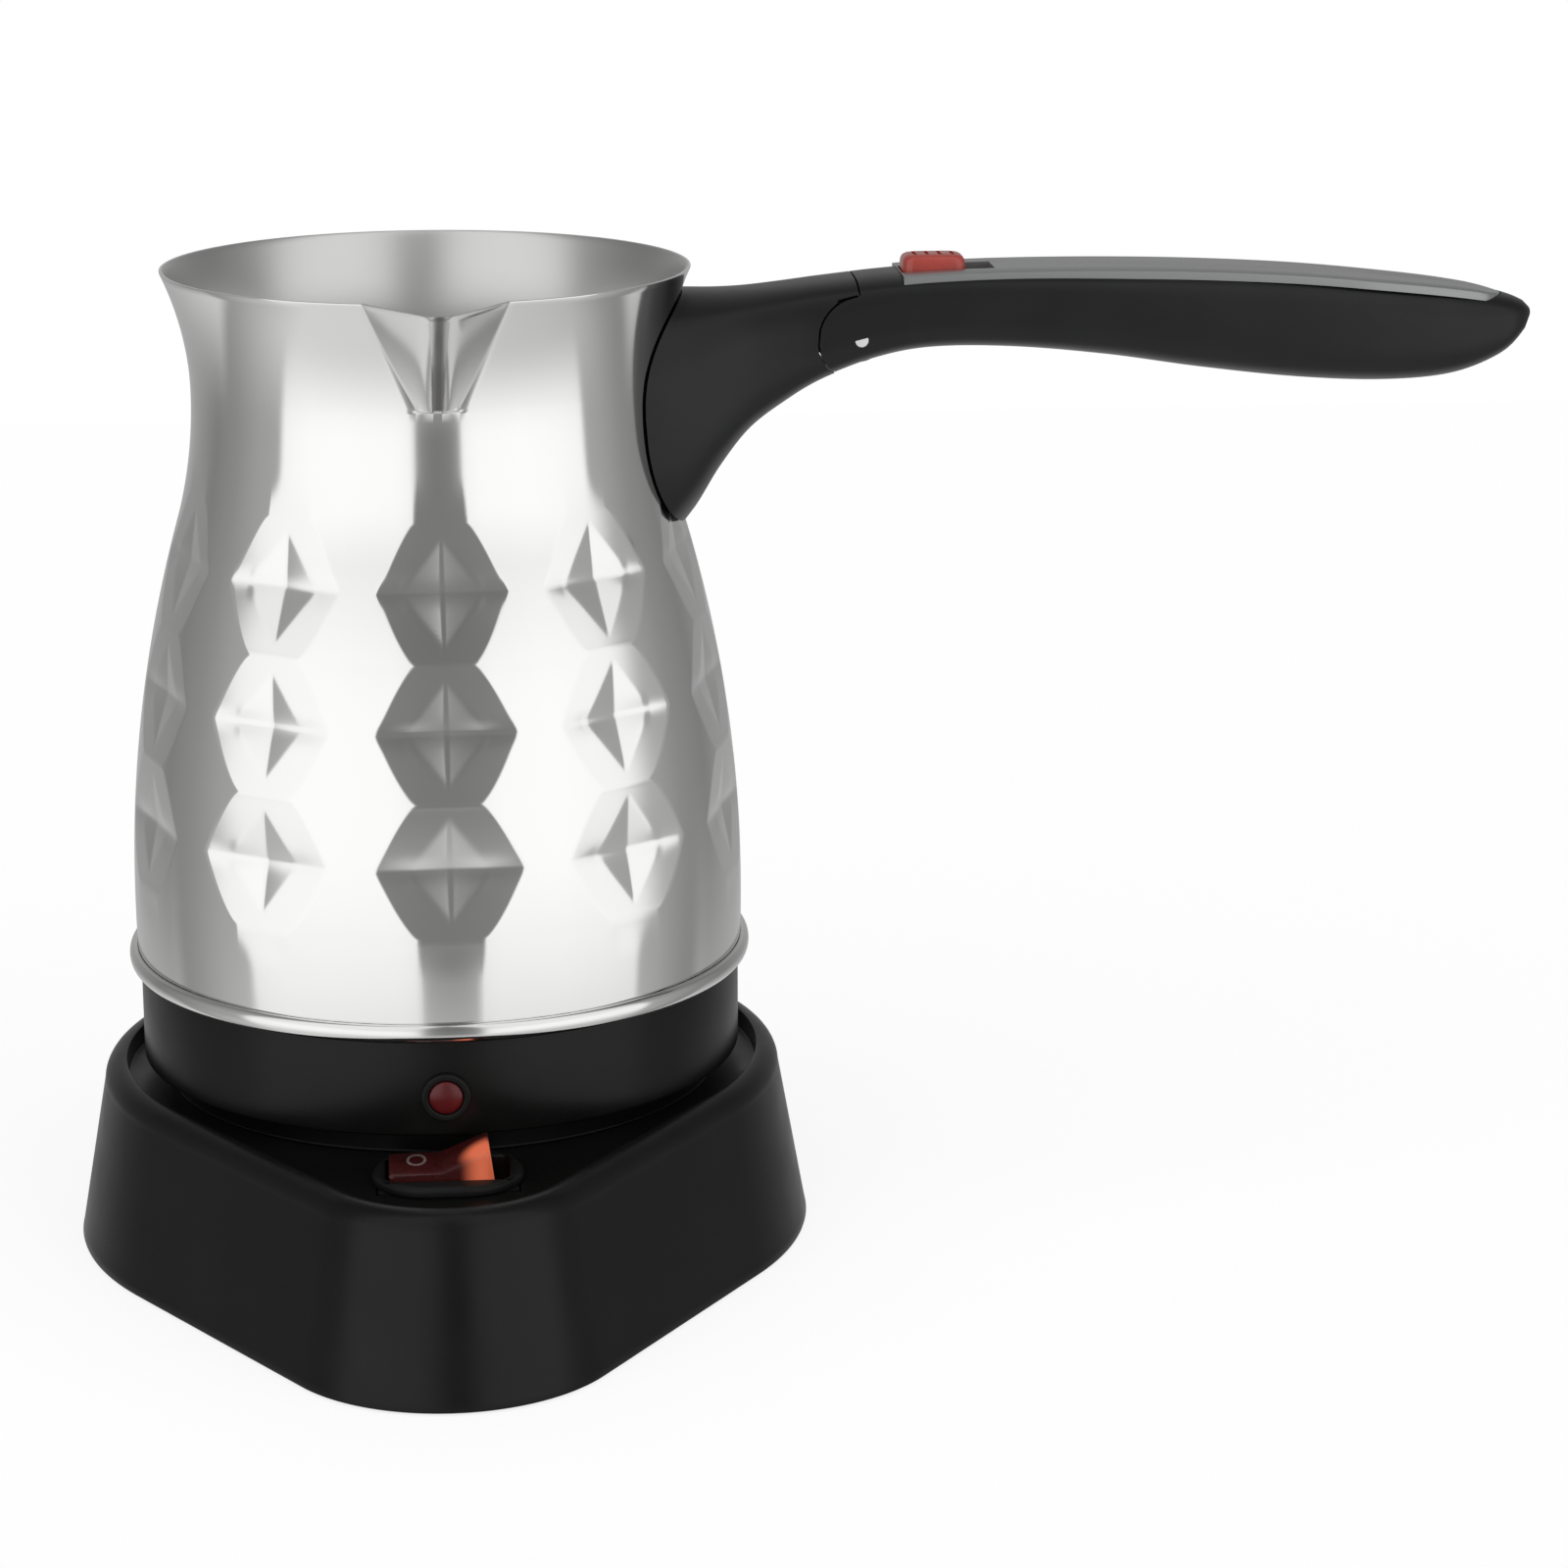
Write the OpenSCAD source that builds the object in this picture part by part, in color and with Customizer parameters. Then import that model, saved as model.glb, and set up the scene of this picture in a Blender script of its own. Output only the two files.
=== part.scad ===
// Electric coffee pot with a spout and a folding handle, on a round base with a switch nose.
// Origin: on the pot's axis, on the table. +X runs along the handle, -Y is the front with the
// spout, the lamp and the switch, and +Z is up. Millimetres.

/* [Base] */
// Radius of the base's round part at the table
base_r = 63.6; // [60:0.2:68]
// Radius of the nose's round end at the table
nose_r = 29.3; // [26.5:0.1:34]
// Distance from the pot's axis to the nose's centre
nose_reach = 60.3; // [56:0.1:66]
// Height at which the wall's top rounding starts
crease_h = 28; // [26:0.5:30]
// How far the wall leans in from the table to the rounding
wall_lean = 5; // [3:0.1:6]
// Width of the lip round the deck, with its rounding
lip_w = 3.8; // [3.7:0.1:4.2]
// Radius of the rounding, and rise of the lip above its start
lip_rise = 3.6; // [3:0.1:3.6]
// Height of the housing's lower edge above the table
skirt_h = 0.4; // [0.3:0.1:1]
// Depth of the deck below the lip's crown
deck_drop = 3.1; // [2.5:0.1:3.4]
// Wall thickness of the base housing
base_wall = 2.4; // [2:0.1:3]
// Radius of the raised plinth under the pot
plinth_r = 47; // [44:0.5:47.5]
// Height of the plinth's top above the table
plinth_h = 36; // [34:0.5:38]
// Thickness of the bottom plate
plate_t = 2; // [1.8:0.1:3]
// Diameter of a rubber foot
foot_d = 9; // [7:0.5:11]
// How far the feet stand out of the bottom plate
foot_stand = 1.2; // [1:0.1:2]
// Bore of the cord inlet bush
inlet_bore = 6.4; // [5.5:0.1:7]
// Height of the cord inlet above the table
inlet_h = 11; // [10:0.5:13]

/* [Switch] */
// Length of the oval switch bezel, along X
bezel_l = 24.6; // [23:0.1:27]
// Width of the oval switch bezel, along Y
bezel_w = 19; // [18:0.1:22]
// Thickness of the bezel above the deck
bezel_t = 1.6; // [1:0.1:2.5]
// Length of the rocker
rocker_l = 16.6; // [15:0.1:17.5]
// Width of the rocker
rocker_w = 10.4; // [9:0.1:11]
// Tilt of the rocker to each side of level
rocker_tilt = 12; // [8:0.5:12]

/* [Pot] */
// Greatest radius of the pot's wall
belly_r = 52.2; // [50:0.1:54]
// Height of the greatest radius
belly_h = 60; // [56:1:66]
// Radius of the belly's curve in profile
belly_curve = 231; // [215:1:250]
// Radius of the pot at its waist
waist_r = 39.6; // [38:0.1:41]
// Height of the waist
waist_h = 147; // [144:0.5:149]
// Radius of the flare's curve above the waist
flare_curve = 50; // [40:1:70]
// Turn of the spout and the pattern from the front towards the handle, in degrees
front_turn = 1.7; // [0:0.1:3]
// Height of the rim
rim_h = 168; // [165:0.5:172]
// Thickness of the steel sheet
sheet = 0.8; // [0.6:0.1:1]
// Number of columns of pressed diamonds
columns = 10; // [8:1:12]
// Number of diamonds in a column
diamond_rows = 3; // [2:1:3]
// Height of one diamond
diamond_h = 22; // [18:0.5:22]
// Height of the lowest diamond's centre
first_diamond_h = 77.4; // [74:0.2:80]
// Half width of a diamond, in degrees round the axis
diamond_half = 14; // [11:0.5:14.5]
// Depth of the star pressed in each diamond's centre
star_depth = 1.3; // [0.6:0.1:1.6]
// How far the spout's lip stands out of the rim
spout_reach = 13.3; // [8:0.1:16]
// Half width of the spout at the rim
spout_half = 12.3; // [9:0.1:14]
// Half width of the spout at its lower end
spout_foot_half = 4.4; // [3:0.1:6]
// Depth of the spout at its lower end
spout_foot_reach = 3; // [1.5:0.1:4]
// Radius of the bright seam ring
seam_r = 53.5; // [53:0.1:54.5]
// Radius of the black collar
collar_r = 51.6; // [50.8:0.1:52]
// Height of the collar's lower edge
collar_foot_h = 32.8; // [32:0.1:34]
// Wall thickness of the collar
collar_wall = 2.2; // [1.8:0.1:2.6]
// Height of the pilot lamp's centre
lamp_h = 39.6; // [39:0.1:41]
// Diameter of the pilot lamp's lens
lens_d = 5.6; // [5:0.1:6]
// Radius of the heating element's ring
element_r = 32; // [30:0.5:33]
// Radius of the heating element's tube
element_tube_r = 3.2; // [2.8:0.1:3.4]

/* [Handle] */
// Distance from the pot's axis to the hinge pin
pin_x = 72; // [70:0.5:74]
// Height of the hinge pin
pin_h = 155.9; // [155:0.1:157]
// Radius of the hinge pin
pin_r = 1.1; // [0.9:0.05:1.4]
// Distance from the pot's axis to the handle's tip
handle_reach = 187.6; // [180:0.2:195]
// Half width of the handle at the hinge
grip_half = 10.5; // [10:0.1:12]
// Half width of the flange on the pot's wall
flange_half = 18; // [16:0.5:20]
// Thickness of the trim strip on top of the grip
trim_t = 1.6; // [1.2:0.1:2]
// Length of the red slide button
button_l = 10.6; // [9:0.1:11]
// Width of the red slide button
button_w = 7.4; // [6:0.1:8]
// Travel of the slide button
button_travel = 4.6; // [4:0.1:5]

/* [Clearances] */
// Gap between neighbouring plastic pieces
gap = 0.3; // [0.2:0.05:0.4]
// Radial clearance of a pin that turns in its bore
running = 0.05; // [0.02:0.01:0.09]
// Gap between seated faces
seat = 0.1; // [0.05:0.01:0.15]

/* [Hidden] */
$fn = 96;
eps = 0.01;

black = [0.09, 0.10, 0.09];
steel = [0.78, 0.79, 0.78];
brass = [0.80, 0.66, 0.34];

// ---- base: heights and radii
plate_z = foot_stand;
plate_top = plate_z + plate_t;
crown_h = crease_h + lip_rise;
deck_h = crown_h - deck_drop;
deck_t = base_wall;
crease_r = base_r - wall_lean;
crease_nose_r = nose_r - wall_lean;
well_r = crease_r - lip_w;
well_nose_r = crease_nose_r - lip_w;
inner_lean = wall_lean * (deck_h - deck_t - skirt_h) / (crease_h - skirt_h);
lip_steps = 3;
foot_h = 2.2;
foot_pocket = foot_stand + 1;
foot_places = [[42, 30], [-42, 30], [15, -67], [-15, -67]];
screw_r = 1.5;
head_r = 2.8;
head_h = 1.2;
boss_r = 3.5;
boss_places = [[34, 34], [-34, 34], [21, -50], [-21, -50]];

// ---- connector of the base and the pot
connector_hole_r = 11;
post_r = 7;
post_h = plinth_h + 8.2;
groove_in = 4.4;
groove_out = 6.2;
post_bore_r = 2.8;
centre_pin_r = 1.5;
flange_r = 17;
flange_t = 2.5;
connector_screw_ring = 14;

// ---- switch
switch_y = -59.4;
pivot_h = deck_h - 3;
rocker_wall = 1.5;
rocker_cut_l = rocker_l + 3.4;
rocker_cut_w = rocker_w + 2 * gap;
switch_l = rocker_cut_l + 2 * rocker_wall - 0.4;
switch_w = rocker_cut_w + 2 * rocker_wall;
switch_depth = 14;
trunnion_r = 1.2;
rocker_mid = 5.8;
rocker_end = 7.4;

// ---- pot: heights
seam_foot = 49.15;
seam_top = 52.2;
seam_flange_t = 1.05;
floor_z = seam_foot + seam_flange_t + seat;
floor_t = 1;
wall_foot = floor_z + floor_t + seat;
collar_top = seam_foot - seat;
collar_flange_t = 2.2;
collar_in = collar_r - collar_wall;
plate_gap_h = plinth_h + 0.3;
collar_plate_t = 1.8;
heater_t = 2.3;
heater_r = 42;
heater_z = floor_z - seat - heater_t;
element_z = heater_z - seat - element_tube_r;
cold_pin_angle = 18;
thermostat_place = [-19, -8];
fuse_place = [19, -10];
collar_boss_r = 3;
collar_boss_ring = 45;
collar_boss_angles = [90, 210, 330];
bezel_ring_r = 4.15;

// ---- wall profile: belly, waist and flare arcs that meet on one tangent
belly_mid = belly_r - belly_curve;
waist_rise = waist_h - belly_h;
waist_in = waist_r - belly_mid;
waist_curve = (waist_in * waist_in + waist_rise * waist_rise - belly_curve * belly_curve)
            / (2 * (belly_curve - waist_in));
tangent_h = belly_h + waist_rise * belly_curve / (belly_curve + waist_curve);
function wall_r(z) =
  z < tangent_h ? belly_mid + sqrt(pow(belly_curve, 2) - pow(z - belly_h, 2))
  : z < waist_h ? waist_r + waist_curve - sqrt(pow(waist_curve, 2) - pow(z - waist_h, 2))
  : waist_r + flare_curve - sqrt(pow(flare_curve, 2) - pow(z - waist_h, 2));

// ---- pressed pattern and spout
column_pitch = 360 / columns;
spout_foot_rise = 3.8;
spout_foot_h = waist_h + spout_foot_rise;
spout_blend = 2.5;
pattern_foot = first_diamond_h - diamond_h / 2;
pattern_top = pattern_foot + diamond_rows * diamond_h;
row_steps = 4;
wall_rows = concat(
  [wall_foot, (wall_foot + pattern_foot) / 2],
  [for (k = [0:diamond_rows * row_steps]) pattern_foot + k * diamond_h / row_steps],
  [for (k = [1:2]) pattern_top + k * (spout_foot_h - spout_blend - pattern_top) / 3],
  [spout_foot_h - spout_blend],
  [for (k = [0:4]) spout_foot_h + k * (rim_h - spout_foot_h) / 4]
);
column_steps = [-1, -0.5, 0, 0.5, 1];

// Half width of the spout at height z, by the share of its height
function spout_share(z) = (z - spout_foot_h) / (rim_h - spout_foot_h);
function spout_w(z) = spout_foot_half + (spout_half - spout_foot_half) * max(0, spout_share(z));
function spout_d(z) = z < spout_foot_h ? 0
  : spout_foot_reach + (spout_reach - spout_foot_reach) * spout_share(z);

// Depth of the pressed pattern at u of the half width and v of the half height of a diamond
function facet(r, u, v) = u + v >= 1 ? 0 : (1 - u - v) * r * (1 - cos(diamond_half));
function star(u, v) = u == 0 && v == 0 ? star_depth : 0;
function row_part(z) = let (k = (z - pattern_foot) / diamond_h) abs(k - floor(k) - 0.5) * 2;
function in_pattern(z) = z > pattern_foot && z < pattern_top;
function press(z, u) = in_pattern(z)
  ? facet(wall_r(z), abs(u), row_part(z)) + star(u, row_part(z)) : 0;

// One point of the wall, with the sheet's thickness taken off the radius
function wall_point(z, r, a) = [r * sin(a), -r * cos(a), z];
function half_angle(c, z) = c == 0 && z > pattern_top + diamond_h / 4
  ? asin(spout_w(z) / wall_r(z)) : diamond_half;
function spout_point(z, t, u) = let (
    edge = wall_point(z, wall_r(z) - t, half_angle(0, z)),
    tip = wall_r(z) + spout_d(z) - t
  ) [edge[0] * u, -(tip * (1 - abs(u)) - edge[1] * abs(u)), z];
function ring_points(z, t) = [
  for (c = [0:columns - 1]) each concat(
    [for (u = column_steps) c == 0 && spout_d(z) > 0 ? spout_point(z, t, u)
      : wall_point(z, wall_r(z) - t - press(z, u), c * column_pitch + u * half_angle(c, z))],
    [wall_point(z, wall_r(z) - t, (c + 0.5) * column_pitch)])
];

// ---- handle outlines: each station is [x, top, bottom, half width, roundness]
wall_x = waist_r;
neck_foot_h = pin_h - 46;
neck_stations = [
  [wall_x - 5, pin_h + 7.7, pin_h - 35.4, flange_half + 0.6, 2.6],
  [wall_x, pin_h + 7.7, pin_h - 34.1, flange_half - 0.6, 2.4],
  [wall_x + 4.5, pin_h + 7.6, pin_h - 29.4, flange_half - 2.4, 2.4],
  [wall_x + 9, pin_h + 7.5, pin_h - 22.1, flange_half - 4.4, 2.6],
  [wall_x + 14, pin_h + 7.7, pin_h - 15.7, flange_half - 6, 2.8],
  [wall_x + 20, pin_h + 8.3, pin_h - 11.1, flange_half - 7, 3],
  [wall_x + 26, pin_h + 9, pin_h - 7.5, grip_half, 3.2],
  [pin_x + 2, pin_h + 9.9, pin_h - 4.1, grip_half, 3.2]
];
grip_stations = [
  [pin_x - 8, pin_h + 8.7, pin_h - 7.9, grip_half, 3.2],
  [pin_x + 2, pin_h + 9.9, pin_h - 4.1, grip_half, 3.2],
  [pin_x + 12, pin_h + 10.6, pin_h - 2.2, grip_half + 0.1, 3.2],
  [pin_x + 26, pin_h + 11, pin_h - 2.3, grip_half + 0.3, 3.2],
  [pin_x + 42, pin_h + 11, pin_h - 3.9, grip_half + 0.5, 3],
  [pin_x + 58, pin_h + 10.6, pin_h - 6.3, grip_half + 0.5, 3],
  [handle_reach - 41, pin_h + 9.7, pin_h - 8.3, grip_half + 0.3, 2.9],
  [handle_reach - 26, pin_h + 8.3, pin_h - 9.1, grip_half - 0.2, 2.8],
  [handle_reach - 14, pin_h + 6.9, pin_h - 8.3, grip_half - 1.3, 2.6],
  [handle_reach - 5.5, pin_h + 5.4, pin_h - 5.3, grip_half - 3.4, 2.4],
  [handle_reach - 1.4, pin_h + 4, pin_h - 1.7, grip_half - 6, 2.2],
  [handle_reach, pin_h + 2.8, pin_h + 0.9, grip_half - 8.4, 2]
];
section_points = 24;
section_steps = 3;

// Catmull-Rom value between b and c
function smooth_between(a, b, c, d, t) =
  0.5 * (2 * b + (c - a) * t + (2 * a - 5 * b + 4 * c - d) * t * t
         + (3 * b - a - 3 * c + d) * t * t * t);
function at(list, k) = list[max(0, min(len(list) - 1, k))];
function refined(list, steps) = concat(
  [for (k = [0:len(list) - 2], j = [0:steps - 1])
    smooth_between(at(list, k - 1), at(list, k), at(list, k + 1), at(list, k + 2), j / steps)],
  [list[len(list) - 1]]);
// Rounded section at one station, shrunk by inset on all sides
function power(v, n) = sign(v) * pow(abs(v), 2 / n);
function section(s, inset) = let (
    half_h = (s[1] - s[2]) / 2 - inset,
    mid_h = (s[1] + s[2]) / 2,
    half_w = s[3] - inset
  ) [for (k = [0:section_points - 1]) let (a = 360 * (k + 0.5) / section_points)
      [s[0], half_w * power(cos(a), s[4]), mid_h + half_h * power(sin(a), s[4] + 0.6)]];
// Top height and half width of the grip at x
function find_station(list, x) = max([for (k = [0:len(list) - 2]) list[k][0] <= x ? k : 0]);
function grip_at(x, column) = let (
    k = find_station(grip_stations, x), a = grip_stations[k], b = grip_stations[k + 1]
  ) a[column] + (b[column] - a[column]) * (x - a[0]) / (b[0] - a[0]);

// ---- hinge and latch
lobe_r = 7.1;
knuckle_r = 4.4;
tongue_half = 5.4;
channel_half = tongue_half + 0.4;
seam_top_x = pin_x - 1.4;
seam_low_x = pin_x - 0.1;
seam_low_h = pin_h + lobe_r;
handle_top = pin_h + 19;
handle_foot = pin_h - 26;
bolt_z = pin_h + 0.7;
bolt_t = 2.4;
bolt_half = 2;
bolt_tip_x = pin_x + 3.4;
latch_room_x0 = pin_x + 7;
latch_room_x1 = pin_x + 27.5;
button_x = pin_x + 7.7;
button_rise = 2.5;
button_slot_l = button_l + button_travel + 0.5;
stem_x = button_x + 2;
stem_l = 6;
bolt_end_x = stem_x + stem_l + 3.6;
trim_x0 = button_x - 0.5;
trim_x1 = handle_reach - 5;
trim_inset = 1.7;
grip_shell = 2;
trim_screw_x = [pin_x + 40, handle_reach - 26];
post_screw_r = 1;
post_screw_l = 3.5;
post_top = pin_h + 1.1;
trim_screw_in = 1.9;

// ---- bracket between the pot's wall and the neck
bracket_t = 1.2;
weld_gap = 0.15;
bracket_half = 6;
tab_z = pin_h - 7.9;
bracket_foot_h = tab_z - 14;
bracket_head_h = tab_z + 9.5;
bracket_room = max(wall_r(bracket_foot_h), wall_r(bracket_head_h)) + weld_gap + bracket_t + gap;
tab_t = 1.6;
tab_x1 = wall_x + 20.4;
neck_screw_x = [wall_x + 9.4, wall_x + 16.6];
neck_screw_r = 1.45;

// ================= shared shapes

// Closed skin over rings of equally many points
module skin(rings) {
  n = len(rings[0]);
  m = len(rings);
  points = [for (r = rings) each r];
  sides = [for (i = [0:m - 2], j = [0:n - 1], half = [0, 1])
    let (a = i * n + j, b = i * n + (j + 1) % n, c = a + n, d = b + n)
    half == 0 ? [a, c, d] : [a, d, b]];
  first = [for (j = [0:n - 1]) j];
  last = [for (j = [n - 1:-1:0]) (m - 1) * n + j];
  polyhedron(points, concat([first], sides, [last]));
}

// Skin over handle stations
module handle_skin(stations, inset = 0) {
  skin([for (s = refined(stations, section_steps)) section(s, inset)]);
}

// Round wire along points, with eight sides
module wire(path, r) {
  function along(k) = let (v = at(path, k + 1) - at(path, k - 1)) v / norm(v);
  function side(k) = let (d = along(k), h = abs(d[2]) > 0.9 ? [1, 0, 0] : [0, 0, 1],
    s = cross(d, h)) s / norm(s);
  skin([for (k = [0:len(path) - 1])
    let (d = along(k), s = side(k), u = cross(s, d))
    [for (a = [0:45:315]) path[k] + r * (cos(a) * u + sin(a) * s)]]);
}
// Points of a smooth curve through hand-set points
function route(path) = refined(path, 4);

module at_places(places, z = 0) {
  for (p = places) translate([p[0], p[1], z]) children();
}

// Outline shared by the base's pieces: a round part and a nose with straight sides between
module base_shape(z0, z1, r0, r1, n0, n1) {
  hull() {
    translate([0, 0, z0]) cylinder(h = z1 - z0, r1 = r0, r2 = r1);
    translate([0, -nose_reach, z0]) cylinder(h = z1 - z0, r1 = n0, r2 = n1, $fn = 64);
  }
}

module oval(l, w, h) {
  for (side = [-1, 1]) translate([side * (l - w) / 2, 0, 0]) cylinder(h = h, d = w);
  translate([-(l - w) / 2, -w / 2, 0]) cube([l - w, w, h]);
}

// Screw with its head below and its shank up from z = 0
module screw_up(r, length, head, head_t) {
  cylinder(h = length, r = r, $fn = 32);
  translate([0, 0, -head_t]) difference() {
    cylinder(h = head_t, r = head, $fn = 32);
    for (turn = [0, 90]) rotate(turn)
      translate([-head * 0.6, -0.3, -eps]) cube([head * 1.2, 0.6, head_t / 2]);
  }
}

// ================= base

module base_housing() {
  roof = deck_h - deck_t;
  color(black) difference() {
    union() {
      difference() {
        union() {
          base_shape(skirt_h, crease_h, base_r, crease_r, nose_r, crease_nose_r);
          for (k = [0:lip_steps - 1]) let (
              in0 = lip_rise * (1 - cos(90 * k / lip_steps)),
              in1 = lip_rise * (1 - cos(90 * (k + 1) / lip_steps)))
            base_shape(crease_h + lip_rise * sin(90 * k / lip_steps) - eps,
                       crease_h + lip_rise * sin(90 * (k + 1) / lip_steps),
                       crease_r - in0, crease_r - in1, crease_nose_r - in0, crease_nose_r - in1);
        }
        base_shape(deck_h, crown_h + 1, well_r, well_r, well_nose_r, well_nose_r);
        base_shape(skirt_h - 1, roof, base_r - base_wall, base_r - base_wall - inner_lean,
                   nose_r - base_wall, nose_r - base_wall - inner_lean);
      }
      translate([0, 0, roof]) cylinder(h = plinth_h - roof, r = plinth_r);
      at_places(boss_places, plate_top + seat)
        cylinder(h = roof - plate_top - seat + eps, r = boss_r, $fn = 32);
    }
    translate([0, 0, roof - 1])
      cylinder(h = plinth_h - base_wall - roof + 1, r = plinth_r - base_wall);
    translate([0, 0, roof]) cylinder(h = plinth_h, r = connector_hole_r);
    for (a = [0, 120, 240]) rotate(a) translate([connector_screw_ring, 0, plinth_h - base_wall - 1])
      cylinder(h = 2.8, r = screw_r - 0.2, $fn = 32);
    at_places(boss_places, plate_top) cylinder(h = 15, r = screw_r + running, $fn = 32);
    translate([0, switch_y, roof - 1])
      translate([-switch_l / 2 - gap, -switch_w / 2 - gap, 0])
        cube([switch_l + 2 * gap, switch_w + 2 * gap, deck_t + 2]);
    translate([0, base_r - 3 * wall_lean, inlet_h]) rotate([-90, 0, 0])
      cylinder(h = 24, r = inlet_bore / 2 + 2.3, $fn = 48);
  }
}

module base_bottom_plate() {
  edge = base_wall + gap
       + inner_lean * (plate_top - skirt_h + 1) / (deck_h - deck_t - skirt_h + 1);
  color(black) difference() {
    base_shape(plate_z, plate_top, base_r - edge, base_r - edge, nose_r - edge, nose_r - edge);
    at_places(foot_places, plate_z - 1)
      cylinder(h = foot_pocket - plate_z + 1, d = foot_d + 0.4, $fn = 48);
    at_places(boss_places, plate_z - 1) cylinder(h = head_h + 1.1, r = head_r + 0.2, $fn = 32);
    at_places(boss_places, plate_z) cylinder(h = plate_t + 1, r = screw_r + 0.2, $fn = 32);
  }
}

module rubber_feet() {
  color([0.13, 0.13, 0.13]) at_places(foot_places) {
    cylinder(h = 0.5, d1 = foot_d - 1, d2 = foot_d, $fn = 48);
    translate([0, 0, 0.5]) cylinder(h = foot_h - 0.5, d = foot_d, $fn = 48);
  }
}

module bottom_screws() {
  color(steel) at_places(boss_places, plate_z + head_h)
    screw_up(screw_r, 11, head_r, head_h - 0.1);
}

module base_connector() {
  flange_z = plinth_h - base_wall - seat - flange_t;
  color([0.16, 0.16, 0.17]) difference() {
    union() {
      translate([0, 0, flange_z]) cylinder(h = flange_t, r = flange_r);
      translate([0, 0, flange_z + flange_t - eps])
        cylinder(h = base_wall + seat, r = connector_hole_r - gap);
      translate([0, 0, flange_z]) cylinder(h = post_h - flange_z, r = post_r);
    }
    translate([0, 0, flange_z - 1]) cylinder(h = post_h, r = post_bore_r);
    translate([0, 0, post_h - 7]) difference() {
      cylinder(h = 8, r = groove_out);
      translate([0, 0, -1]) cylinder(h = 10, r = groove_in);
    }
    for (a = [0, 120, 240]) rotate(a) translate([connector_screw_ring, 0, flange_z - 1])
      cylinder(h = flange_t + 2, r = screw_r, $fn = 32);
  }
}

module base_contacts() {
  color(brass) {
    translate([0, 0, deck_h - deck_t])
      cylinder(h = post_h - 1.4 - deck_h + deck_t, r = centre_pin_r, $fn = 32);
    translate([0, 0, deck_h - deck_t]) cylinder(h = 1.2, r = post_bore_r + 1.6, $fn = 32);
    translate([0, 0, post_h - 6.9]) difference() {
      cylinder(h = 6, r = groove_out - seat);
      translate([0, 0, -1]) cylinder(h = 8, r = groove_out - seat - 0.5);
    }
  }
}

module connector_screws() {
  color(steel) for (a = [0, 120, 240]) rotate(a)
    translate([connector_screw_ring, 0, plinth_h - base_wall - seat - flange_t - seat])
      screw_up(screw_r - 0.25, 4.2, 2.4, 1.4);
}

module switch_housing() {
  color([0.12, 0.12, 0.12]) translate([0, switch_y, 0]) difference() {
    union() {
      translate([0, 0, deck_h + seat / 2]) oval(bezel_l, bezel_w, bezel_t);
      translate([-switch_l / 2, -switch_w / 2, deck_h - switch_depth])
        cube([switch_l, switch_w, switch_depth + seat]);
    }
    translate([-rocker_cut_l / 2, -rocker_cut_w / 2, pivot_h - 7])
      cube([rocker_cut_l, rocker_cut_w, 20]);
    translate([0, 0, pivot_h]) rotate([90, 0, 0])
      cylinder(h = bezel_w, r = trunnion_r + running, center = true, $fn = 48);
  }
}

module switch_terminals() {
  color(brass) for (x = [-7, 0, 7])
    translate([x - 0.4, switch_y - 2.4, deck_h - switch_depth - seat - 7]) cube([0.8, 4.8, 7]);
}

module cord_inlet_bush() {
  inner = base_r - base_wall - inner_lean - 0.65;
  outer = inner + 8.5;
  color([0.14, 0.14, 0.14]) translate([0, 0, inlet_h]) rotate([-90, 0, 0]) difference() {
    union() {
      translate([0, 0, inner]) cylinder(h = 1.8, r = inlet_bore / 2 + 3.6, $fn = 48);
      translate([0, 0, inner]) cylinder(h = outer - inner, r = inlet_bore / 2 + 2, $fn = 48);
    }
    translate([0, 0, inner - 1]) cylinder(h = outer - inner + 2, r = inlet_bore / 2, $fn = 64);
  }
}

module base_leads() {
  low = plate_top + 3;
  blade_z = deck_h - switch_depth - seat - 8.4;
  color([0.45, 0.16, 0.12]) {
    wire(route([[-2.2, base_r - 11, inlet_h], [-6, 44, low + 3], [-17, 20, low], [-18, -20, low],
                [-9, -46, low], [-7, switch_y, blade_z]]), 0.9);
    wire(route([[2.2, base_r - 11, inlet_h], [6, 40, low + 3], [7, 22, 20], [5.5, 9, 22],
                [3.2, 2.5, deck_h - deck_t - 1.4]]), 0.9);
    wire(route([[7, switch_y, blade_z], [9, -46, low], [12, -24, low + 4], [10, -10, 18],
                [5.2, -1, plinth_h - base_wall - flange_t - 1.6]]), 0.9);
  }
}

// ================= rocker

module rocker() {
  half = rocker_l / 2;
  outline = [[-half, rocker_end], [0, rocker_mid], [half, rocker_end], [half * 0.93, 0],
             [half * 0.4, -4.2], [-half * 0.4, -4.2], [-half * 0.93, 0]];
  color([0.55, 0.08, 0.06]) translate([0, switch_y, pivot_h]) rotate([0, -rocker_tilt, 0]) {
    rotate([90, 0, 0]) linear_extrude(height = rocker_w, center = true) polygon(outline);
    rotate([90, 0, 0])
      cylinder(h = rocker_w + 2 * gap + 1.6 * rocker_wall, r = trunnion_r, center = true, $fn = 48);
  }
}

// ================= pot

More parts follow.
